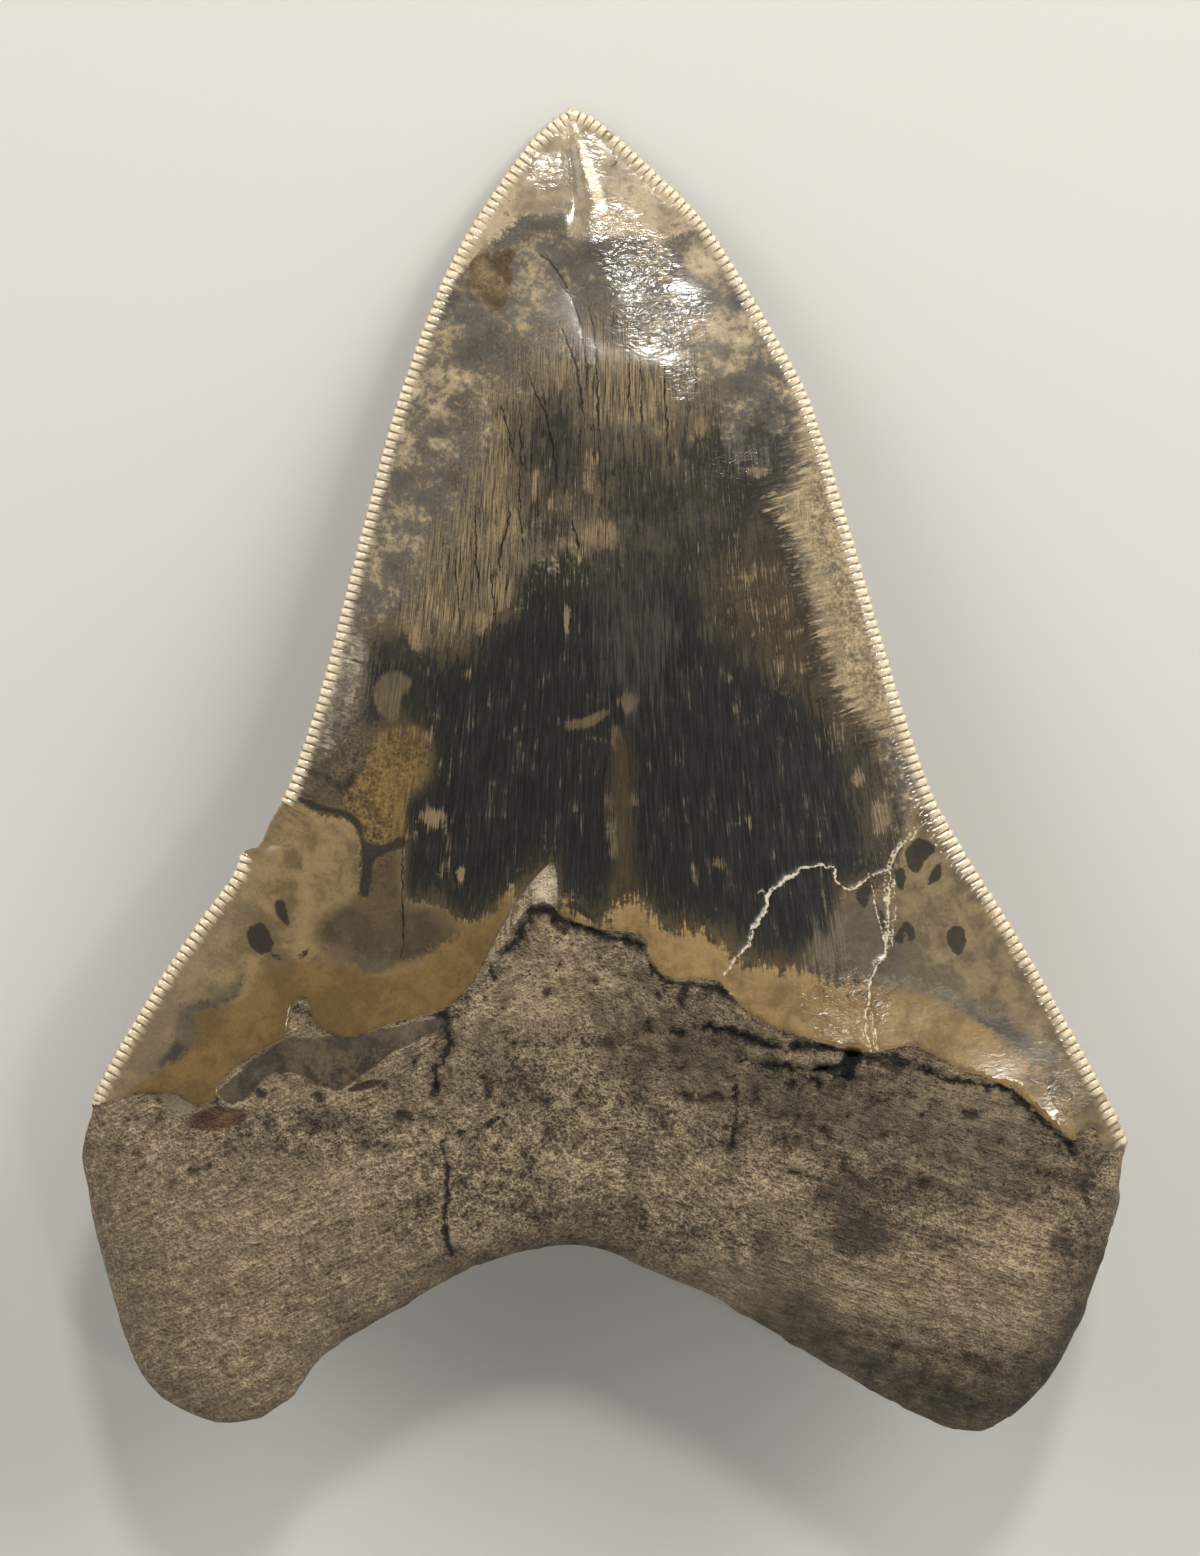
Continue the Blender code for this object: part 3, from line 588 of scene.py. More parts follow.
# Low mounds whose flanks catch the light: place by photo pixels, then radius and height in millimetres,
# and how much wider than high.
mounds = [
    (514, 182, 4.5, 0.26, 1.0), (548, 134, 1.6, 0.09, 1.0), (590, 250, 4.5, 0.28, 1.0),
    (624, 302, 5.0, 0.26, 1.0), (654, 370, 5.0, 0.17, 1.3), (684, 412, 2.6, 0.15, 1.2),
    (806, 1036, 5.0, 0.18, 1.0), (1096, 1074, 3.5, 0.10, 1.0),
]
# The chip at the middle of the enamel border: its broken face, from the enamel down to the root.
chip = dict(inner=[(481, 982), (500, 952), (517, 922), (532, 905), (548, 903), (558, 912)],
            depth=0.7, slope=1.4, fromPixel=470, toPixel=562, whitePlace=(546, 884, 12, 16, 1.0))
spacing = dict(front=0.42, back=0.85, featureStep=0.35, borderHalf=0.16, clear=0.2, jitter=0.12, seed=11)


# points that the front and back sheets are made of

def featureRows():
    # extra points along the border and the cracks, so that their edges come out sharp
    border = smoothLine(onFace(enamelBorder), 6)
    rows = []
    lines = [(border, spacing["borderHalf"])]
    lines += [(jagged(crack), max(crack[1:3])) for crack in whiteCracks + darkCracks + rootCracks]
    for line, half in lines:
        count = max(2, round(lengthAlong(line)[-1] / spacing["featureStep"]))
        places = placesAlong(line, count)
        side = inwardOf(places)
        rows += [places + side * offset for offset in (-half, 0.0, half)]
    for key in ("groove", "ridge", "wedgeEnd"):
        rows.append(placesAlong(onFace(crease[key]), 30))
    rows.append(placesAlong(smoothLine(onFace(chip["inner"]), 6), 40))
    return np.vstack(rows)


def lattice(step, keepClear):
    random = np.random.default_rng(spacing["seed"])
    low = rim.base.min(axis=0)
    high = rim.base.max(axis=0)
    rowStep = step * math.sqrt(3) / 2
    rowCount = int((high[1] - low[1]) / rowStep) + 1
    places = []
    for row in range(rowCount):
        x = np.arange(low[0] + (row % 2) * step / 2, high[0], step)
        places.append(np.column_stack([x, np.full(len(x), low[1] + row * rowStep)]))
    places = np.vstack(places)
    places += random.uniform(-1, 1, places.shape) * spacing["jitter"] * step
    places = places[insideRing(places, rim.base)]
    return places[rim.margin(places) > keepClear]


def rimRows(depths):
    # rows inside the rim; along the root only the outer ones are needed
    closed = np.vstack([rim.base, rim.base[:1]])
    inward = inwardOf(closed)[:-1]
    rows = []
    for depth in depths:
        row = rim.base + inward * depth
        onCrown = np.arange(len(row)) < len(rim.crown)
        rows.append(row[(rim.margin(row) > depth * 0.93) & (onCrown | (depth < beads["rootRowsTo"]))])
    rows = np.vstack(rows)
    return rows[insideRing(rows, rim.ring)]


def thinned(places, others, clear):
    # leaves out the places that lie too close to the others
    return places[nearest(placeTree(others), places)[1] > clear]


def sheetPoints(front):
    if front:
        features = featureRows()
        features = features[insideRing(features, rim.base)]
        rows = rimRows(beads["rows"])
        rows = thinned(rows, features, spacing["clear"] * 0.5)
        features = thinned(features, rim.ring, spacing["clear"])
        grid = thinned(lattice(spacing["front"], beads["rows"][-1] + 0.2), features, spacing["clear"])
        return np.vstack([rim.ring, rows, features, grid])
    rows = rimRows(beads["backRows"])
    return np.vstack([rim.ring, rows, lattice(spacing["back"], beads["backRows"][-1] + 0.4)])


def sheetFaces(points):
    # triangles between the points; those that span a hollow of the outline are left out
    count = len(rim.ring)
    edges = [(number, (number + 1) % count) for number in range(count)]
    flat = [Vector(point) for point in points]
    _, _, faces, sources, _, _ = geometry.delaunay_2d_cdt(flat, edges, [], 1, 1e-6, True)
    first = np.array([source[0] for source in sources])
    faces = first[np.array(faces)]
    onRing = np.flatnonzero((faces < count).all(axis=1))
    outside = onRing[~insideRing(points[faces[onRing]].mean(axis=1), rim.ring)]
    return np.delete(faces, outside, axis=0)


# fields that both the form and the finish use

def dabField(points, patches):
    strength = np.zeros(len(points))
    for x, y, halfWide, halfHigh, most in patches:
        offset = (points - onFace([(x, y)])[0]) * photo["pixelsPerMm"] / (halfWide, halfHigh)
        strength = np.maximum(strength, most * smoothstep(1.5, 0.3, np.hypot(*offset.T)))
    return strength


def marginOf(points):
    gap = rim.margin(points)
    gap[: len(rim.ring)] = 0.0
    return gap


def jagged(crack):
    # the crack's line, wandering as a real one does
    line = smoothLine(onFace(crack[0]), 6)
    line = placesAlong(line, max(3, round(lengthAlong(line)[-1] / crackForm["step"])))
    wander = crackForm["wander"] + crackForm["wanderByWidth"] * max(crack[1:3])
    return line + inwardOf(line) * (wander * lumps(line, crackForm["wanderScale"], 3, seed=31.0))[:, None]


def crackField(points, cracks, taper=False):
    # how far inside the nearest crack each point is, how deep the crack is there, and how far inside its
    # wider halo
    inside = np.full(len(points), -2.0)
    halo = np.full(len(points), -2.0)
    depth = np.zeros(len(points))
    swell = 1 + 0.8 * lumps(points, 1.2, 2, seed=33.0)
    for crack in cracks:
        _, startHalf, endHalf, deepest = crack
        gap, along = nearLine(points, jagged(crack), 2.0)
        half = (startHalf + (endHalf - startHalf) * along) * swell
        if taper:
            half = half * smoothstep(-0.05, 0.25, along) * smoothstep(1.05, 0.7, along)
        inside = np.maximum(inside, half - gap)
        halo = np.maximum(halo, half * crackForm["haloWide"] - gap)
        depth = np.maximum(depth, deepest * smoothstep(half * 2.0 + 0.02, 0, gap))
    return inside, depth, halo


def frontFields(points):
    border = smoothLine(onFace(enamelBorder), 6)
    aboveBorder = [(80, -36), (80, 80), (-80, 80), (-80, -31)]
    ring = np.vstack([border, aboveBorder])
    gap, _ = nearLine(points, border, 14.0)
    fields = dict(enamel=np.where(insideRing(points, ring), gap, -gap))
    for name, zone in {**zones, **rootZones}.items():
        fields[name] = zoneDepth(points, onFace(zone["ring"]), stretch=0.4 if zone["fray"] > 1 else 1.0)
    for name, patches in dabs.items():
        fields[name] = dabField(points, patches)
    fields["chipTop"] = dabField(points, [chip["whitePlace"]])
    fields["dark"] = np.full(len(points), -2.0)
    for mark in darkMarks:
        fields["dark"] = np.maximum(fields["dark"], zoneDepth(points, onFace(mark), 2.0))
    fields["whiteCrack"], whiteDepth, _ = crackField(points, whiteCracks)
    fields["darkCrack"], darkDepth, _ = crackField(points, darkCracks, taper=True)
    fields["rootCrack"], rootDepth, fields["rootHalo"] = crackField(points, rootCracks)
    fields["hole"] = zoneDepth(points, onFace(hole["ring"]), 2.0)
    inner = smoothLine(onFace(chip["inner"]), 6)
    low, high = onFace([(chip["fromPixel"], 0), (chip["toPixel"], 0)])[:, 0]
    outer = border[(border[:, 0] > low) & (border[:, 0] < high)]
    chipRing = np.vstack([outer, inner[::-1]])
    chipGap, _ = nearLine(points, np.vstack([chipRing, chipRing[:1]]), 3.0)
    fields["chip"] = np.where(insideRing(points, chipRing), chipGap, -chipGap)
    cuts = 0.4 * whiteDepth + 0.05 * darkDepth + rootDepth
    cuts += hole["depth"] * smoothstep(-0.15, 0.5, fields["hole"])
    cuts += 0.05 * smoothstep(0, 0.9, fields["pittedSpot"]) * (1 + lumps(points, 1.6, 2, seed=8.0))
    return fields, cuts


def backFields(points):
    x, y = points.T
    below = toothForm["backBorderTop"] - toothForm["backBorderFall"] * np.abs(x) - y
    band = toothForm["bandWidth"] - toothForm["bandTaper"] * np.abs(x)
    worn = 0.7 * lumps(points, 0.5, 3, seed=21.0)
    fields = dict(enamel=-(below + worn) * 0.8)
    upper = smoothstep(0, 0.6, below + worn)
    fields["band"] = upper * smoothstep(band, band - toothForm["bandEdge"], below + 2 * worn)
    mirrored = points * (-1, 1)
    for name, zone in zones.items():
        if zone.get("through"):
            fields[name] = zoneDepth(mirrored, onFace(zone["ring"]), stretch=0.4)
    for name, patches in dabs.items():
        fields[name] = dabField(points if name.startswith("root") else mirrored, patches)
    # the root's lower end is darkened as painted shade on the back too
    fields["rootDim"] = zoneDepth(points, onFace(rootZones["rootDim"]["ring"]))
    fields["ochreRight"] = 6.0 + 1.5 * worn - fields["enamel"]
    return fields, np.zeros(len(points))


def creaseHeight(points):
    # groove, then a ridge whose right flank is the bright wedge
    x, y = points.T
    low, high = onFace(crease["groove"])[[-1, 0], 1]
    reach = smoothstep(low - 3.0, low + 1.5, y) * smoothstep(high + 0.6, high - 1.0, y)
    lines = [onFace(crease[key])[::-1] for key in ("groove", "ridge", "wedgeEnd")]
    groove, ridge, end = [np.interp(y, line[:, 1], line[:, 0]) for line in lines]
    ridge = np.maximum(ridge, groove + 0.15)
    end = np.maximum(end, ridge + 0.15)
    leftOf = groove - 1.1
    depth, slope = crease["depth"], crease["slope"]
    into = -depth * smoothstep(leftOf, groove, x)
    upRidge = -depth + (depth + slope * (end - ridge)) * (x - groove) / (ridge - groove)
    sides = [x < leftOf, x < groove, x < ridge, x < end]
    return reach * np.select(sides, [np.zeros(len(x)), into, upRidge, slope * (end - x)], 0.0)


# The roughness of both faces: heights in millimetres, and the weight of each noise in the relief.
frontRelief = dict(
    crownWave=0.05, coarse=0.8, finer=0.7, striae=0.9, striaeTurn=-17, striaeStretch=7.0, pits=1.2,
    swell=0.40, height=0.5, crumblyLeast=0.45, crumblyMore=0.65, polishedLoses=0.85, polishedRise=0.12,
)
backRelief = dict(
    coarse=0.9, finer=0.5, pits=1.0, swell=-0.35, height=-0.30, bandLoses=0.8, borderStep=0.3,
    holePlace=(1.5, -20.0), holeFlat=1.3, holeDepth=1.4, holeDish=0.3,
)


def frontHeight(points, margin, fields, cuts, beadHere):
    x, y = points.T
    form = toothForm
    part = frontRelief
    middle, half = rim.halfWidth(y)
    side = np.clip(np.abs(x - middle) / half, 0, 1)
    crown = np.minimum(form["crownRise"] * half, form["crownMostRise"]) * (1 - side**2)
    crown = crown * (1 - form["tipFlat"] * smoothstep(38, 50, y)) + bendAt(y)
    crown = crown + creaseHeight(points)
    crown = crown + part["crownWave"] * lumps(points, 0.12, 2, seed=1.0)
    depth = -fields["enamel"]
    fall = form["rootFall"] * np.minimum(y - form["bulgeY"], 0) ** 2
    lowRoot = form["rootLift"] - form["enamelStep"] - fall
    nearBorder = crown - 0.3
    root = nearBorder + (lowRoot - nearBorder) * smoothstep(0.5, 11.0, depth)
    calm = np.clip(margin / 2.5, 0, 1)
    striae = lumps(points, 0.9, 3, part["striaeTurn"], part["striaeStretch"], seed=4.0)
    relief = part["coarse"] * lumps(points, 0.5, 3, seed=5.0)
    relief = relief + part["finer"] * lumps(points, 1.2, 2, seed=6.0)
    relief = relief + part["striae"] * (striae * smoothstep(0, 20, x))
    pitted = smoothstep(0.30, 0.65, lumps(points, 0.6, 2, seed=9.0))
    relief = relief - part["pits"] * pitted * smoothstep(22, 4, depth)
    fields["relief"] = relief
    smoothPlace = smoothstep(-0.2, 0.4, fields["polished"])
    smoothPlace = np.maximum(smoothPlace, smoothstep(-0.2, 0.2, fields["polishedSmall"]))
    crumbly = part["crumblyLeast"] + part["crumblyMore"] * fields["rootCrumbly"]
    rough = part["height"] * relief * crumbly * (1 - part["polishedLoses"] * smoothPlace)
    rough = part["swell"] * lumps(points, 0.18, 2, seed=7.0) + rough
    root = root + rough * calm * smoothstep(-0.2, 1.2, depth) + part["polishedRise"] * smoothPlace
    onRoot = smoothstep(-0.14, 0.14, depth)
    face = crown + (root - crown) * onRoot
    broken = smoothstep(0.0, chip["slope"], fields["chip"])
    face = face - chip["depth"] * broken * (1 + 0.4 * lumps(points, 1.3, 2, seed=12.0))
    for acrossPixel, downPixel, radius, height, wide in mounds:
        gap = np.hypot(*((points - onFace([(acrossPixel, downPixel)])[0]) / (wide, 1)).T)
        face = face + height * smoothstep(radius, 0, gap)
    for spot in (whiteDot, whiteBump):
        gap = np.hypot(*(points - onFace([spot["place"]])[0]).T)
        face = face + spot["lift"] * smoothstep(spot["radius"] * 1.3, 0, gap)
    roundEdge = smoothstep(form["edgeTop"], form["edgeTop"] - form["edgeBlend"], y)
    rise = np.clip(margin / form["crownBevel"], 0, 1)
    rise = rise + (quarterRound(margin, form["frontRound"]) - rise) * roundEdge
    rise = rise + (quarterRound(margin, 1.2) - rise) * smoothstep(0, 3, depth) * (1 - roundEdge)
    edge = rimHeight(y)
    ridge = beads["rise"] * beadHere * smoothstep(0, 0.25, margin)
    return edge + (face - cuts - edge) * rise + ridge


def backHeight(points, margin, fields, beadHere):
    x, y = points.T
    form = toothForm
    part = backRelief
    middle, half = rim.halfWidth(y)
    side = np.clip(np.abs(x - middle) / half, 0, 1)
    below = form["backBorderTop"] - form["backBorderFall"] * np.abs(x) - y
    root = smoothstep(*form["backBlend"], below)
    crownDepth = np.interp(y, *np.array(form["crownDepth"], float).T)
    crown = bendAt(y) - crownDepth * (1 - side ** form["crownFullness"])
    bulge = np.exp(-(x / form["bulgeWide"]) ** 2 - ((y - form["bulgeY"]) / form["bulgeHigh"]) ** 2)
    rootFace = -(form["rootDepth"] + form["bulgeDepth"] * bulge)
    face = crown + (rootFace - crown) * root + form["bandSink"] * fields["band"]
    relief = part["coarse"] * lumps(points, 0.45, 3, seed=15.0)
    relief = relief + part["finer"] * lumps(points, 0.9, 2, seed=16.0)
    relief = relief - part["pits"] * smoothstep(0.3, 0.7, lumps(points, 0.5, 2, seed=17.0))
    fields["relief"] = relief
    rough = part["swell"] * lumps(points, 0.18, 2, seed=18.0) + part["height"] * relief
    face = face + rough * root * (1 - part["bandLoses"] * fields["band"]) * np.clip(margin / 2.5, 0, 1)
    face = face + part["borderStep"] * smoothstep(0.3, -0.3, fields["enamel"]) * (1 - root)
    holeX, holeY = part["holePlace"]
    foramen = np.hypot(x - holeX, (y - holeY) * part["holeFlat"])
    face = face + part["holeDepth"] * smoothstep(1.3, 0.2, foramen)
    face = face + part["holeDish"] * smoothstep(3.5, 0.5, foramen)
    rise = np.clip(margin / form["crownBevel"], 0, 1)
    rise = rise + (quarterRound(margin, form["backRound"]) - rise) * root
    edge = rimHeight(y)
    return edge + (face - edge) * rise - beads["rise"] * beadHere * smoothstep(0, 0.25, margin)


# one closed mesh from both sheets

def beadField(points):
    # bead strength near the crown's rim, and the length along the rim
    number, gap = nearest(rim.crownTree, points)
    x, y = points.T
    long = smoothstep(6, 0, y - 2) * smoothstep(-14, -6, y) * (x > 0)
    length = beads["length"] + (beads["longLength"] - beads["length"]) * long
    wave = rim.bead[number]
    wave[len(rim.crown):len(rim.ring)] = 0
    return wave, wave * smoothstep(length, length * 0.4, gap), rim.crownRun[number]


def buildSheet(front):
    points = sheetPoints(front)
    margin = marginOf(points)
    fields, cuts = frontFields(points) if front else backFields(points)
    beadWave, beadHere, run = beadField(points)
    fields["crinkle"] = 0.05 + 0.95 * dabField(points, crinkled)
    if front:
        height = frontHeight(points, margin, fields, cuts, beadHere)
    else:
        height = backHeight(points, margin, fields, beadHere)
    fields["bead"] = beadWave
    fields["margin"] = margin
    fanned = points[:, 0] * (1 + 0.006 * points[:, 1])
    vectors = dict(
        facePoint=np.column_stack([points, height]),
        fibreRun=np.column_stack([fanned, points[:, 1], height * 0.2 + 9 * (not front)]),
        edgeRun=np.column_stack([run, margin, np.full(len(points), 5.0 * (not front))]),
    )
    faces = sheetFaces(points)
    return points, height, faces, fields, vectors


def layDown(places):
    tilt = math.radians(toothForm["restTilt"])
    x, y, w = places.T
    cosine, sine = math.cos(tilt), math.sin(tilt)
    return np.column_stack([x, y * cosine + w * sine, w * cosine - y * sine])


def buildTooth():
    front = buildSheet(True)
    back = buildSheet(False)
    print("front sheet:", len(front[2]), "faces; back sheet:", len(back[2]), "faces")
    shared = len(rim.ring)
    frontPlaces = np.column_stack([front[0], front[1]])
    backPlaces = np.column_stack([back[0], back[1]])[shared:]
    shift = len(frontPlaces) - shared
    places = layDown(np.vstack([frontPlaces, backPlaces]))
    lowCorner, highCorner = [np.array(corner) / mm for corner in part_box("tooth")]
    middle = (places.min(axis=0) + places.max(axis=0)) / 2
    offset = (lowCorner + highCorner) / 2 - middle
    offset[2] = -places[places[:, 1] > toothForm["tipZone"], 2].min()
    places = places + offset
    places[:, 2] = np.maximum(places[:, 2], 0)
    backFaces = np.where(back[2] < shared, back[2], back[2] + shift)[:, ::-1]
    faces = np.vstack([front[2], backFaces]).tolist()
    mesh = bpy.data.meshes.new("fossilTooth")
    mesh.from_pydata((places * mm).tolist(), [], faces)
    for name in sorted(set(front[3]) | set(back[3])):
        both = []
        for sheet in (front, back):
            absent = 0.0 if name in ("band", "relief", "chipTop") else -9.0
            both.append(sheet[3].get(name, np.full(len(sheet[0]), absent)))
        layer = mesh.attributes.new(name, "FLOAT", "POINT")
        layer.data.foreach_set("value", np.concatenate([both[0], both[1][shared:]]).astype(np.float32))
    for name in front[4]:
        layer = mesh.attributes.new(name, "FLOAT_VECTOR", "POINT")
        values = np.vstack([front[4][name], back[4][name][shared:]]).astype(np.float32)
        layer.data.foreach_set("vector", values.ravel())
    layOutBake(mesh, np.vstack([front[0], back[0][shared:]]), len(front[2]))
    tooth = bpy.data.objects.new("fossilTooth", mesh)
    bpy.context.scene.collection.objects.link(tooth)
    mesh.shade_smooth()
    return tooth, offset


# where both faces lie on the square that holds the finish
bake = dict(left=51, backMiddle=123, width=175, low=65, height=130)


def layOutBake(mesh, points, frontFaces):
    # front tip up and back tip down, side by side in the square
    layer = mesh.uv_layers.new(name="OFBake")
    corners = np.empty(len(mesh.loops), np.int64)
    mesh.loops.foreach_get("vertex_index", corners)
    isFront = np.arange(len(corners)) < frontFaces * 3
    place = points[corners]
    u = np.where(isFront, place[:, 0] + bake["left"], bake["backMiddle"] - place[:, 0]) / bake["width"]
    v = np.where(isFront, place[:, 1] + bake["low"], bake["low"] - place[:, 1]) / bake["height"]
    layer.data.foreach_set("uv", np.column_stack([u, v]).astype(np.float32).ravel())


# node helpers

class Finish:
    def __init__(self, name):
        self.material = bpy.data.materials.new(name)
        self.material.use_nodes = True
        self.tree = self.material.node_tree
        self.shader = self.tree.nodes["Principled BSDF"]

    def put(self, socket, value):
        if isinstance(value, bpy.types.NodeSocket):
            self.tree.links.new(value, socket)
        elif isinstance(value, tuple) and len(value) == 3 and socket.type == "RGBA":
            socket.default_value = (*value, 1)
        else:
            socket.default_value = value

    def add(self, kind, inputs, output=0, **settings):
        node = self.tree.nodes.new(kind)
        for key, value in settings.items():
            setattr(node, key, value)
        for key, value in inputs.items():
            self.put(node.inputs[key], value)
        return node.outputs[output]

    def field(self, name):
        return self.add("ShaderNodeAttribute", {}, "Fac", attribute_name=name)

    def place(self, name):
        return self.add("ShaderNodeAttribute", {}, "Vector", attribute_name=name)

    def maths(self, operation, a, b=0.0):
        return self.add("ShaderNodeMath", {0: a, 1: b}, operation=operation)

    def plus(self, a, b):
        return self.maths("ADD", a, b)

    def times(self, a, b):
        return self.maths("MULTIPLY", a, b)

    def scaled(self, colour, factor):
        return self.add("ShaderNodeVectorMath", {0: colour, 3: factor}, operation="SCALE")

    def stretched(self, vector, scale):
        return self.add("ShaderNodeVectorMath", {0: vector, 1: scale}, operation="MULTIPLY")

    def grain(self, vector, scale, detail=3.0, roughness=0.55, warp=0.0):
        inputs = {"Vector": vector, "Scale": scale, "Detail": detail}
        inputs.update({"Roughness": roughness, "Distortion": warp})
        return self.add("ShaderNodeTexNoise", inputs, "Fac")

    def step(self, value, low, high, start=0.0, end=1.0):
        inputs = {"Value": value, "From Min": low, "From Max": high, "To Min": start, "To Max": end}
        return self.add("ShaderNodeMapRange", inputs, "Result", interpolation_type="SMOOTHSTEP")

    def mix(self, factor, a, b):
        return self.add("ShaderNodeMix", {0: factor, 6: a, 7: b}, 2, data_type="RGBA")

    def mixValue(self, factor, a, b):
        return self.add("ShaderNodeMix", {0: factor, 2: a, 3: b}, 0, data_type="FLOAT")


def linear(colour, veil=0.0):
    # eye values from 0 to 255 to the light values that the shader takes, less the sheen that veils them
    parts = np.array(colour) / 255
    parts = np.where(parts <= 0.04045, parts / 12.92, ((parts + 0.055) / 1.055) ** 2.4)
    return tuple(float(max(part - veil, 0.003)) for part in parts)


# groove is painted shade between the beads; black also serves as painted shade in the root's cracks and
# hole, and sandDark partly as painted shade in low places
toothFinish = dict(
    veil=0.004,
    cream=(154, 138, 110), blueGrey=(89, 84, 76), darkGrey=(68, 64, 58), ochre=(124, 108, 83),
    charcoal=(46, 44, 40), pale=(206, 190, 160), bead=(220, 204, 174), groove=(112, 95, 70),
    sand=(119, 104, 82), sandLight=(168, 149, 118), sandDark=(72, 62, 48), rootBlue=(58, 55, 48),
    speck=(44, 37, 30), stain=(62, 51, 38), white=(206, 192, 166), dullWhite=(160, 146, 120),
    black=(27, 25, 23), scratch=(104, 98, 88), band=(84, 76, 64),
)


# Its noises: of which vector, stretched by what, then scale, detail, roughness and distortion.
toothGrains = dict(
    cloud=("facePoint", None, 0.15, 3.0, 0.6, 0.4),
    blotch=("facePoint", None, 0.50, 3.0, 0.62, 0.3),
    speck=("facePoint", None, 1.7, 3.0, 0.65),
    fine=("facePoint", None, 3.6, 2.0, 0.65),
    fibre=("fibreRun", (4.2, 0.24, 0.3), 1.0, 3.0, 0.62, 0.2),
    thin=("fibreRun", (11.0, 0.34, 0.3), 1.0, 2.0, 0.55, 0.1),
    wide=("fibreRun", (1.1, 0.17, 0.3), 1.0, 2.0, 0.6, 0.3),
    fur=("edgeRun", (2.4, 0.30, 1.0), 1.0, 3.0, 0.66, 0.5),
)
# How strongly each thing shows, and the roughness and bump heights in millimetres.
toothSurface = dict(
    dabPull=0.14, toGrey=(-0.19, 0.05), toDark=(0.06, 0.30), toPale=(-0.14, -0.34),
    grainContrast=(0.62, 1.38), sandContrast=(0.74, 1.26), calmShare=0.72, coreShare=0.6,
    enamelRough=(0.12, 0.16), fibreRough=(0.15, 0.20), crinkleRough=0.055, rootRough=0.9, polishedRough=0.8,
    ior=1.5, crinkleBump=0.155, crinkleStretch=(0.85, 1.6, 1.0), fineBump=0.8, speckBump=1.3,
    strokeBump=0.5, strokeStretch=(0.5, 2.8, 1.0), strokeTurn=(-0.5, 0.32),
    hairs=[((1.5, 0.045, 0.3), 0.5, 0.014), ((2.6, 0.07, 0.3), 0.46, 0.016)],
)


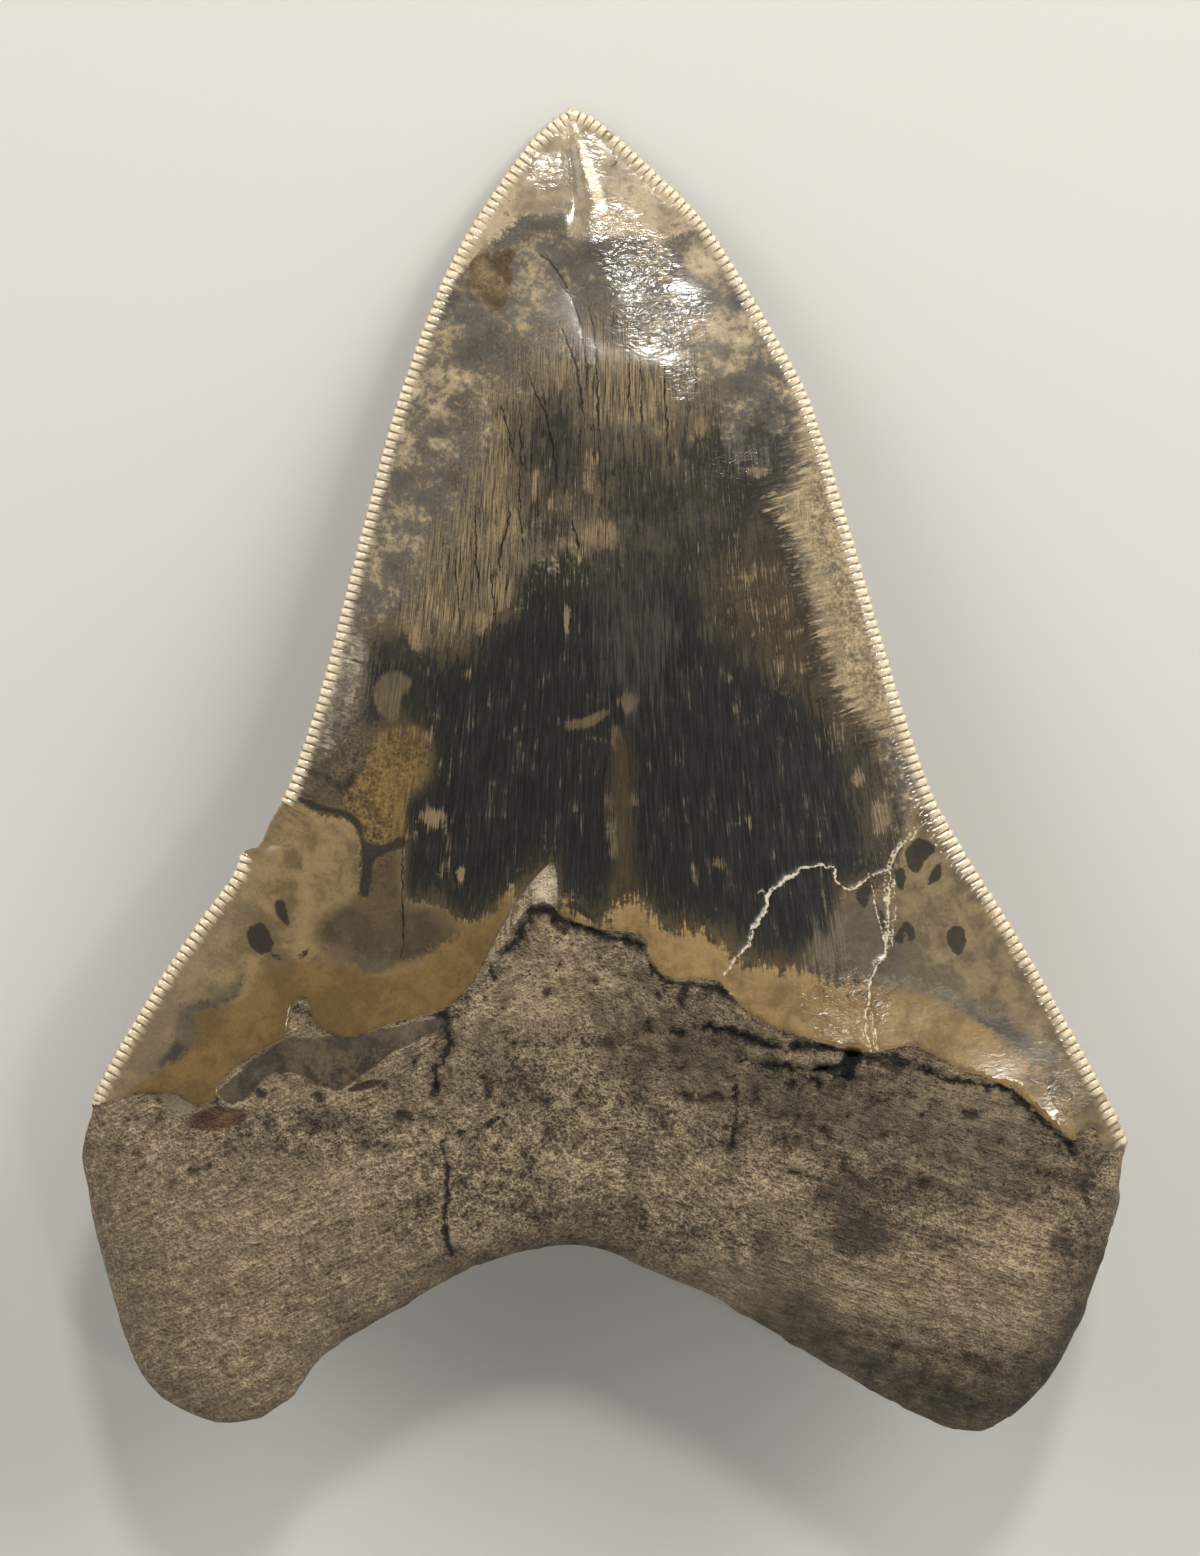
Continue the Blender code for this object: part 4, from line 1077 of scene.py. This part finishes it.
def toothMaterial():
    finish = Finish("fossilTooth")
    veil = toothFinish["veil"]
    colour = {key: linear(value, veil) for key, value in toothFinish.items() if isinstance(value, tuple)}
    surface = toothSurface
    places = {name: finish.place(name) for name in ("facePoint", "fibreRun", "edgeRun")}
    face, run = places["facePoint"], places["fibreRun"]
    field, mix, step, times, plus = finish.field, finish.mix, finish.step, finish.times, finish.plus

    def most(*values):
        highest = values[0]
        for value in values[1:]:
            highest = finish.maths("MAXIMUM", highest, value)
        return highest

    def rest(value):
        return finish.maths("SUBTRACT", 1.0, value)

    def centred(vector, scale, *more):
        return finish.maths("SUBTRACT", finish.grain(vector, scale, *more), 0.5)

    def sumOf(*parts):
        # adds noises together, each with its weight
        total = times(parts[0][0], parts[0][1])
        for noiseValue, weight in parts[1:]:
            total = plus(total, times(noiseValue, weight))
        return total

    grain = {}
    for name, (vector, stretch, scale, *more) in toothGrains.items():
        place = finish.stretched(places[vector], stretch) if stretch else places[vector]
        grain[name] = centred(place, scale, *more)
    cloud, blotch, speck, fine, fibre, thin, wide, fur = grain.values()

    # what breaks up the edges of patches: lumps, fibres in the streaked middle, fur near some rims
    fibreHere = step(most(field("tanStreaks"), field("smoky"), field("core")), -2.5, 1.5)
    furEdge = step(finish.maths("ABSOLUTE", plus(field("furry"), 0.4)), 2.6, 0.6)
    furRim = times(step(field("leftDarkRim"), -2.0, 0.3), step(field("margin"), 4.2, 2.2))
    furHere = most(furEdge, furRim)
    lumpy = sumOf((blotch, 0.55), (speck, 0.55), (fine, 0.25))
    stringy = sumOf((fibre, 0.75), (wide, 0.40), (thin, 0.35), (blotch, 0.25))
    furry = sumOf((fur, 1.0), (speck, 0.20))
    ragged = finish.mixValue(fibreHere, lumpy, stringy)
    ragged = finish.mixValue(furHere, ragged, furry)
    crumbs = sumOf((speck, 0.6), (fine, 0.5))
    # the lobes and the tip are polished and calm
    calmZones = ("leftLobe", "rightLobe", "tipCream", "ochreLeft", "ochreRight")
    calm = step(most(*[field(name) for name in calmZones]), -0.5, 0.8)
    busy = sumOf((blotch, 0.8), (speck, 0.45), (fine, 0.2))
    inside = finish.mixValue(calm, busy, sumOf((cloud, 0.7), (blotch, 0.7)))
    flat = finish.mixValue(times(fibreHere, rest(calm)), inside, stringy)
    flat = step(finish.mixValue(furHere, flat, sumOf((fur, 0.8), (blotch, 0.5))), -0.13, 0.13)

    def zoneMask(name, zone):
        depth = plus(field(name), times(ragged, zone["fray"] * 7.0))
        return step(plus(depth, times(crumbs, 0.8)), -zone["soft"], zone["soft"])

    def zoneColour(zone):
        first, second = [linear(value, veil) for value in zone["colours"]]
        return mix(flat, second, first)

    # crown ground: cream, blue-grey and dark grey clouds, pulled one way or the other by the dabs
    tone = sumOf((cloud, 0.45), (blotch, 0.6), (speck, 0.8), (fine, 0.5))
    pull = finish.maths("SUBTRACT", field("blueDabs"), field("paleDabs"))
    tone = plus(tone, times(pull, surface["dabPull"]))
    crown = mix(step(tone, *surface["toGrey"]), colour["cream"], colour["blueGrey"])
    crown = mix(step(tone, *surface["toDark"], 0.0, 0.9), crown, colour["darkGrey"])
    crown = mix(step(tone, *surface["toPale"], 0.0, 0.6), crown, colour["pale"])

    def dabMask(name, low, high, strongest):
        return step(plus(field(name), sumOf((ragged, 2.6), (blotch, 1.2))), low, high, 0.0, strongest)

    names = list(zones)
    flecksAfter = names.index("core") + 1
    for name in names[:flecksAfter]:
        crown = mix(zoneMask(name, zones[name]), crown, zoneColour(zones[name]))
    crown = mix(dabMask("darkDabs", 0.25, 0.85, 0.8), crown, colour["charcoal"])
    crown = mix(dabMask("ochreDabs", 0.32, 0.92, 0.85), crown, colour["ochre"])
    for name in names[flecksAfter:]:
        crown = mix(zoneMask(name, zones[name]), crown, zoneColour(zones[name]))

    # grain over all of it: long fibres in the middle, fine grain elsewhere
    fibreTone = sumOf((fibre, 0.4), (thin, 0.9), (fine, 0.4))
    grainTone = finish.mixValue(fibreHere, sumOf((fine, 0.8), (speck, 0.5)), fibreTone)
    grainTone = finish.mixValue(furHere, grainTone, sumOf((fur, 0.4), (fine, 0.4)))
    quiet = step(field("core"), -1.5, 1.0, 0.0, surface["coreShare"])
    quiet = most(times(calm, surface["calmShare"]), quiet)
    grainTone = finish.mixValue(quiet, step(grainTone, -0.2, 0.2, *surface["grainContrast"]), 1.0)
    crown = finish.scaled(crown, grainTone)
    scratches = times(step(sumOf((thin, 1.0), (wide, 0.8)), 0.17, 0.30, 0.0, 0.5), fibreHere)
    fewer = most(calm, step(field("core"), -1.5, 1.0, 0.0, 0.5))
    scratches = times(scratches, step(fewer, 0, 1, 1, 0))
    crown = mix(scratches, crown, colour["scratch"])
    for stretch, shift, width in surface["hairs"]:
        hair = finish.grain(finish.stretched(run, stretch), 1.0, 2.0, 0.5, 0.6)
        hair = step(finish.maths("ABSOLUTE", finish.maths("SUBTRACT", hair, shift)), width, 0.0)
        hair = times(hair, step(field("tanStreaks"), -2.5, 1.0, 0.0, 0.92))
        crown = mix(times(hair, step(plus(wide, blotch), -0.14, -0.02)), crown, colour["black"])
    marks = plus(field("dark"), sumOf((crumbs, 0.8), (blotch, 0.6)))
    crown = mix(step(marks, -0.10, 0.12, 0.0, 0.9), crown, colour["charcoal"])
    cracked = plus(field("darkCrack"), times(crumbs, 0.35))
    crown = mix(step(cracked, -0.06, 0.03, 0.0, 0.85), crown, colour["black"])
    cracked = plus(field("whiteCrack"), times(crumbs, 0.8))
    crown = mix(step(cracked, -0.04, 0.10, 0.0, 0.85), crown, colour["white"])

    # beads along the cutting edges, with a pale line inside them and painted shade in the grooves between
    # them
    nearRim = step(plus(field("margin"), times(fur, 1.4)), 1.45, 0.35)
    beadColour = mix(step(field("bead"), 0.2, 0.7), colour["groove"], colour["bead"])
    beadColour = finish.scaled(beadColour, step(sumOf((speck, 0.6), (fine, 0.5)), -0.15, 0.15, 0.8, 1.15))
    crown = mix(times(nearRim, 0.9), crown, beadColour)

    # root: grains of sand, with painted shade in its low places and painted light on its crests
    relief = field("relief")
    # strokes across both lobes, rising to the right on the left lobe and falling on the right lobe
    across = finish.add("ShaderNodeSeparateXYZ", {0: face}, "X")
    turned = {"Vector": face, "Angle": step(across, -15.0, 15.0, *surface["strokeTurn"])}
    turned = finish.add("ShaderNodeVectorRotate", turned, "Vector", rotation_type="Z_AXIS")
    strokes = centred(finish.stretched(turned, surface["strokeStretch"]), 1.0, 2.0, 0.6)
    crumbly = plus(times(field("rootCrumbly"), 0.65), 0.42)
    # the relief makes crests lighter and low places darker, painted light and shade over the sand's own
    # tone
    sandTone = times(sumOf((relief, 0.20), (speck, 0.65), (fine, 1.0)), crumbly)
    sandTone = plus(sandTone, sumOf((blotch, 0.30), (cloud, 0.20), (strokes, 0.45)))
    sandTone = plus(sandTone, times(finish.maths("SUBTRACT", field("rootPale"), field("rootStain")), 0.16))
    sand = mix(step(sandTone, -0.04, 0.24), colour["sand"], colour["sandLight"])
    sand = mix(step(sandTone, 0.0, -0.26), sand, colour["sandDark"])
    stainHere = plus(field("rootStain"), sumOf((crumbs, 4.5), (blotch, 2.4)))
    sand = mix(step(stainHere, 0.62, 1.05, 0.0, 0.75), sand, colour["rootBlue"])
    # painted shade in the low places of the relief
    reliefShade = plus(times(relief, crumbly), times(speck, 2.0))
    sand = mix(step(reliefShade, -0.45, -1.0, 0.0, 0.8), sand, colour["sandDark"])
    for name, zone in rootZones.items():
        sand = mix(zoneMask(name, zone), sand, zoneColour(zone))
    sandTone = step(sumOf((fine, 0.8), (speck, 0.7)), -0.22, 0.22, *surface["sandContrast"])
    sand = finish.scaled(sand, sandTone)
    smooth = most(field("polished"), field("polishedSmall"))
    smooth = step(plus(smooth, times(crumbs, 0.8)), -0.15, 0.2)
    rough = rest(smooth)
    nearEnamel = step(field("enamel"), -13.0, -3.0, 0.25, 1.0)
    # dark specks near the enamel, slightly more in low places of the relief as painted shade
    pepper = step(plus(sumOf((fine, 0.9), (speck, 0.8)), times(relief, -0.25)), 0.19, 0.30)
    sand = mix(times(times(pepper, nearEnamel), times(rough, 0.9)), sand, colour["speck"])
    stained = plus(field("rootHalo"), sumOf((crumbs, 3.4), (blotch, 4.0)))
    sand = mix(step(stained, -0.2, 0.8, 0.0, 0.62), sand, colour["stain"])
    # near-black painted shade in the root's hollows and cracks
    rootCrackShade = plus(field("rootCrack"), sumOf((crumbs, 2.4), (blotch, 2.0)))
    sand = mix(step(rootCrackShade, -0.22, 0.10, 0.0, 0.92), sand, colour["black"])
    # the hole painted black as the shade inside it
    sand = mix(step(plus(field("hole"), crumbs), -0.1, 0.1), sand, colour["black"])
    rimOfPatch = finish.maths("ABSOLUTE", plus(field("polished"), times(crumbs, 0.8)))
    broken = step(plus(blotch, times(cloud, 1.5)), -0.05, 0.06)
    sand = mix(times(step(rimOfPatch, 0.22, 0.03, 0.0, 0.6), broken), sand, colour["dullWhite"])
    sand = mix(field("band"), sand, mix(flat, colour["band"], colour["blueGrey"]))
    flaky = step(sumOf((fibre, 1.0), (speck, 0.8)), -0.10, 0.12)
    chipColour = mix(flaky, colour["sand"], colour["dullWhite"])
    chipColour = mix(field("chipTop"), chipColour, colour["white"])
    sand = mix(step(plus(field("chip"), times(crumbs, 0.6)), -0.05, 0.12), sand, chipColour)

    isEnamel = step(plus(field("enamel"), times(crumbs, 0.9)), -0.05, 0.05)
    finish.put(finish.shader.inputs["Base Color"], mix(isEnamel, sand, crown))

    gloss = step(speck, -0.2, 0.2, *surface["enamelRough"])
    gloss = finish.mixValue(fibreHere, gloss, step(fibre, -0.2, 0.2, *surface["fibreRough"]))
    gloss = plus(gloss, times(field("crinkle"), surface["crinkleRough"]))
    rootGloss = finish.mixValue(smooth, surface["rootRough"], surface["polishedRough"])
    gloss = finish.mixValue(isEnamel, rootGloss, gloss)
    finish.put(finish.shader.inputs["Roughness"], gloss)
    finish.shader.inputs["IOR"].default_value = surface["ior"]

    crinkle = finish.grain(finish.stretched(face, surface["crinkleStretch"]), 1.0, 2.0, 0.55, 0.9)
    crownBump = times(times(crinkle, field("crinkle")), surface["crinkleBump"])
    rootBump = times(sumOf((fine, surface["fineBump"]), (speck, surface["speckBump"])), crumbly)
    rootBump = plus(rootBump, times(strokes, surface["strokeBump"]))
    rootBump = times(rootBump, plus(times(rough, 0.9), 0.1))
    height = finish.mixValue(isEnamel, rootBump, crownBump)
    normal = finish.add("ShaderNodeBump", {"Height": height, "Distance": mm, "Strength": 1.0}, "Normal")
    finish.put(finish.shader.inputs["Normal"], normal)
    return finish.material


tooth, toothOffset = buildTooth()
tooth.data.materials.append(toothMaterial())
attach(tooth, "root")
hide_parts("tooth")
print("tooth:", len(tooth.data.polygons), "faces")

# floor, light and camera

studio = dict(
    floorSize=12.0, floorColour=(205, 203, 198), lens=85.0, sensor=36.0,
    horizon=(0.62, 0.615, 0.60), zenith=(0.07, 0.07, 0.068),
    keyPlace=(0.050, 0.438, 0.460), keySize=(0.06, 0.06), keyLies=(0, 1, 0), keyPower=1.6,
    keyColour=(1.0, 0.97, 0.92),
    glintPlace=(0.195, 0.051, 0.590), glintSize=(0.03, 0.03), glintLies=(0, 1, 0), glintPower=0.24,
    glintColour=(1.0, 0.97, 0.92),
    leftPlace=(-0.54, 0.38, 0.42), leftSize=(0.5, 0.5), leftLies=(0, 1, 0), leftPower=2.5,
    leftColour=(1.0, 0.98, 0.95),
    rightPlace=(0.46, 0.50, 0.40), rightSize=(0.4, 0.4), rightLies=(0, 1, 0), rightPower=4.4,
    rightColour=(1.0, 0.98, 0.95),
    fillPlace=(0.10, -0.60, 0.30), fillSize=(0.5, 0.5), fillLies=(0, 0, 1), fillPower=0.9,
    fillColour=(1.0, 0.98, 0.95),
)


def floorMaterial():
    finish = Finish("paleFloor")
    place = finish.add("ShaderNodeTexCoord", {}, "Object")
    pale = linear(studio["floorColour"])
    dim = tuple(part * 0.97 for part in pale)
    finish.put(finish.shader.inputs["Base Color"], finish.mix(finish.grain(place, 6.0, 3.0), pale, dim))
    finish.shader.inputs["Roughness"].default_value = 0.8
    return finish.material


def buildFloor():
    half = studio["floorSize"] / 2
    mesh = bpy.data.meshes.new("floor")
    corners = [(-half, -half, 0), (half, -half, 0), (half, half, 0), (-half, half, 0)]
    mesh.from_pydata(corners, [], [(0, 1, 2, 3)])
    mesh.materials.append(floorMaterial())
    floor = bpy.data.objects.new("floor", mesh)
    bpy.context.scene.collection.objects.link(floor)


def aimAt(thing, target, up=(0, 0, 1)):
    back = (thing.location - Vector(target)).normalized()
    right = Vector(up).cross(back).normalized()
    top = back.cross(right)
    turn = Matrix((right, top, back)).transposed().to_4x4()
    thing.matrix_world = Matrix.Translation(thing.location) @ turn


def addLight(name):
    data = bpy.data.lights.new(name, "AREA")
    data.shape = "RECTANGLE"
    data.size, data.size_y = studio[name + "Size"]
    data.energy = studio[name + "Power"]
    data.color = studio[name + "Colour"]
    light = bpy.data.objects.new(name + "Light", data)
    light.location = studio[name + "Place"]
    bpy.context.scene.collection.objects.link(light)
    aimAt(light, (0, 0, 0.02), studio[name + "Lies"])


def addCamera():
    tilt = math.radians(toothForm["restTilt"])
    outOfFace = Vector((0, math.sin(tilt), math.cos(tilt)))
    upFace = Vector((0, math.cos(tilt), -math.sin(tilt)))
    centre = onFace([(photo["width"] / 2, photo["height"] / 2)])[0]
    target = (Vector(toothOffset) + Vector((centre[0], 0, 0)) + upFace * centre[1]) * mm
    high = photo["height"] / photo["pixelsPerMm"] * mm
    data = bpy.data.cameras.new("camera")
    data.lens = studio["lens"]
    data.sensor_width = studio["sensor"]
    data.sensor_height = studio["sensor"]
    data.sensor_fit = "VERTICAL"
    camera = bpy.data.objects.new("camera", data)
    camera.location = target + outOfFace * (high / 2 / (studio["sensor"] / 2 / studio["lens"]))
    bpy.context.scene.collection.objects.link(camera)
    aimAt(camera, target, upFace)
    bpy.context.scene.camera = camera


def addWorld():
    world = bpy.data.worlds.new("studio")
    world.use_nodes = True
    tree = world.node_tree
    direction = tree.nodes.new("ShaderNodeTexCoord").outputs["Generated"]
    split = tree.nodes.new("ShaderNodeSeparateXYZ")
    blend = tree.nodes.new("ShaderNodeMix")
    blend.data_type = "RGBA"
    blend.inputs[6].default_value = (*studio["horizon"], 1)
    blend.inputs[7].default_value = (*studio["zenith"], 1)
    tree.links.new(direction, split.inputs[0])
    tree.links.new(split.outputs["Z"], blend.inputs[0])
    tree.links.new(blend.outputs[2], tree.nodes["Background"].inputs["Color"])
    bpy.context.scene.world = world


buildFloor()
for lightName in ("key", "glint", "left", "right", "fill"):
    addLight(lightName)
addWorld()
addCamera()
bpy.context.scene.view_settings.view_transform = "Standard"
print("studio ready")
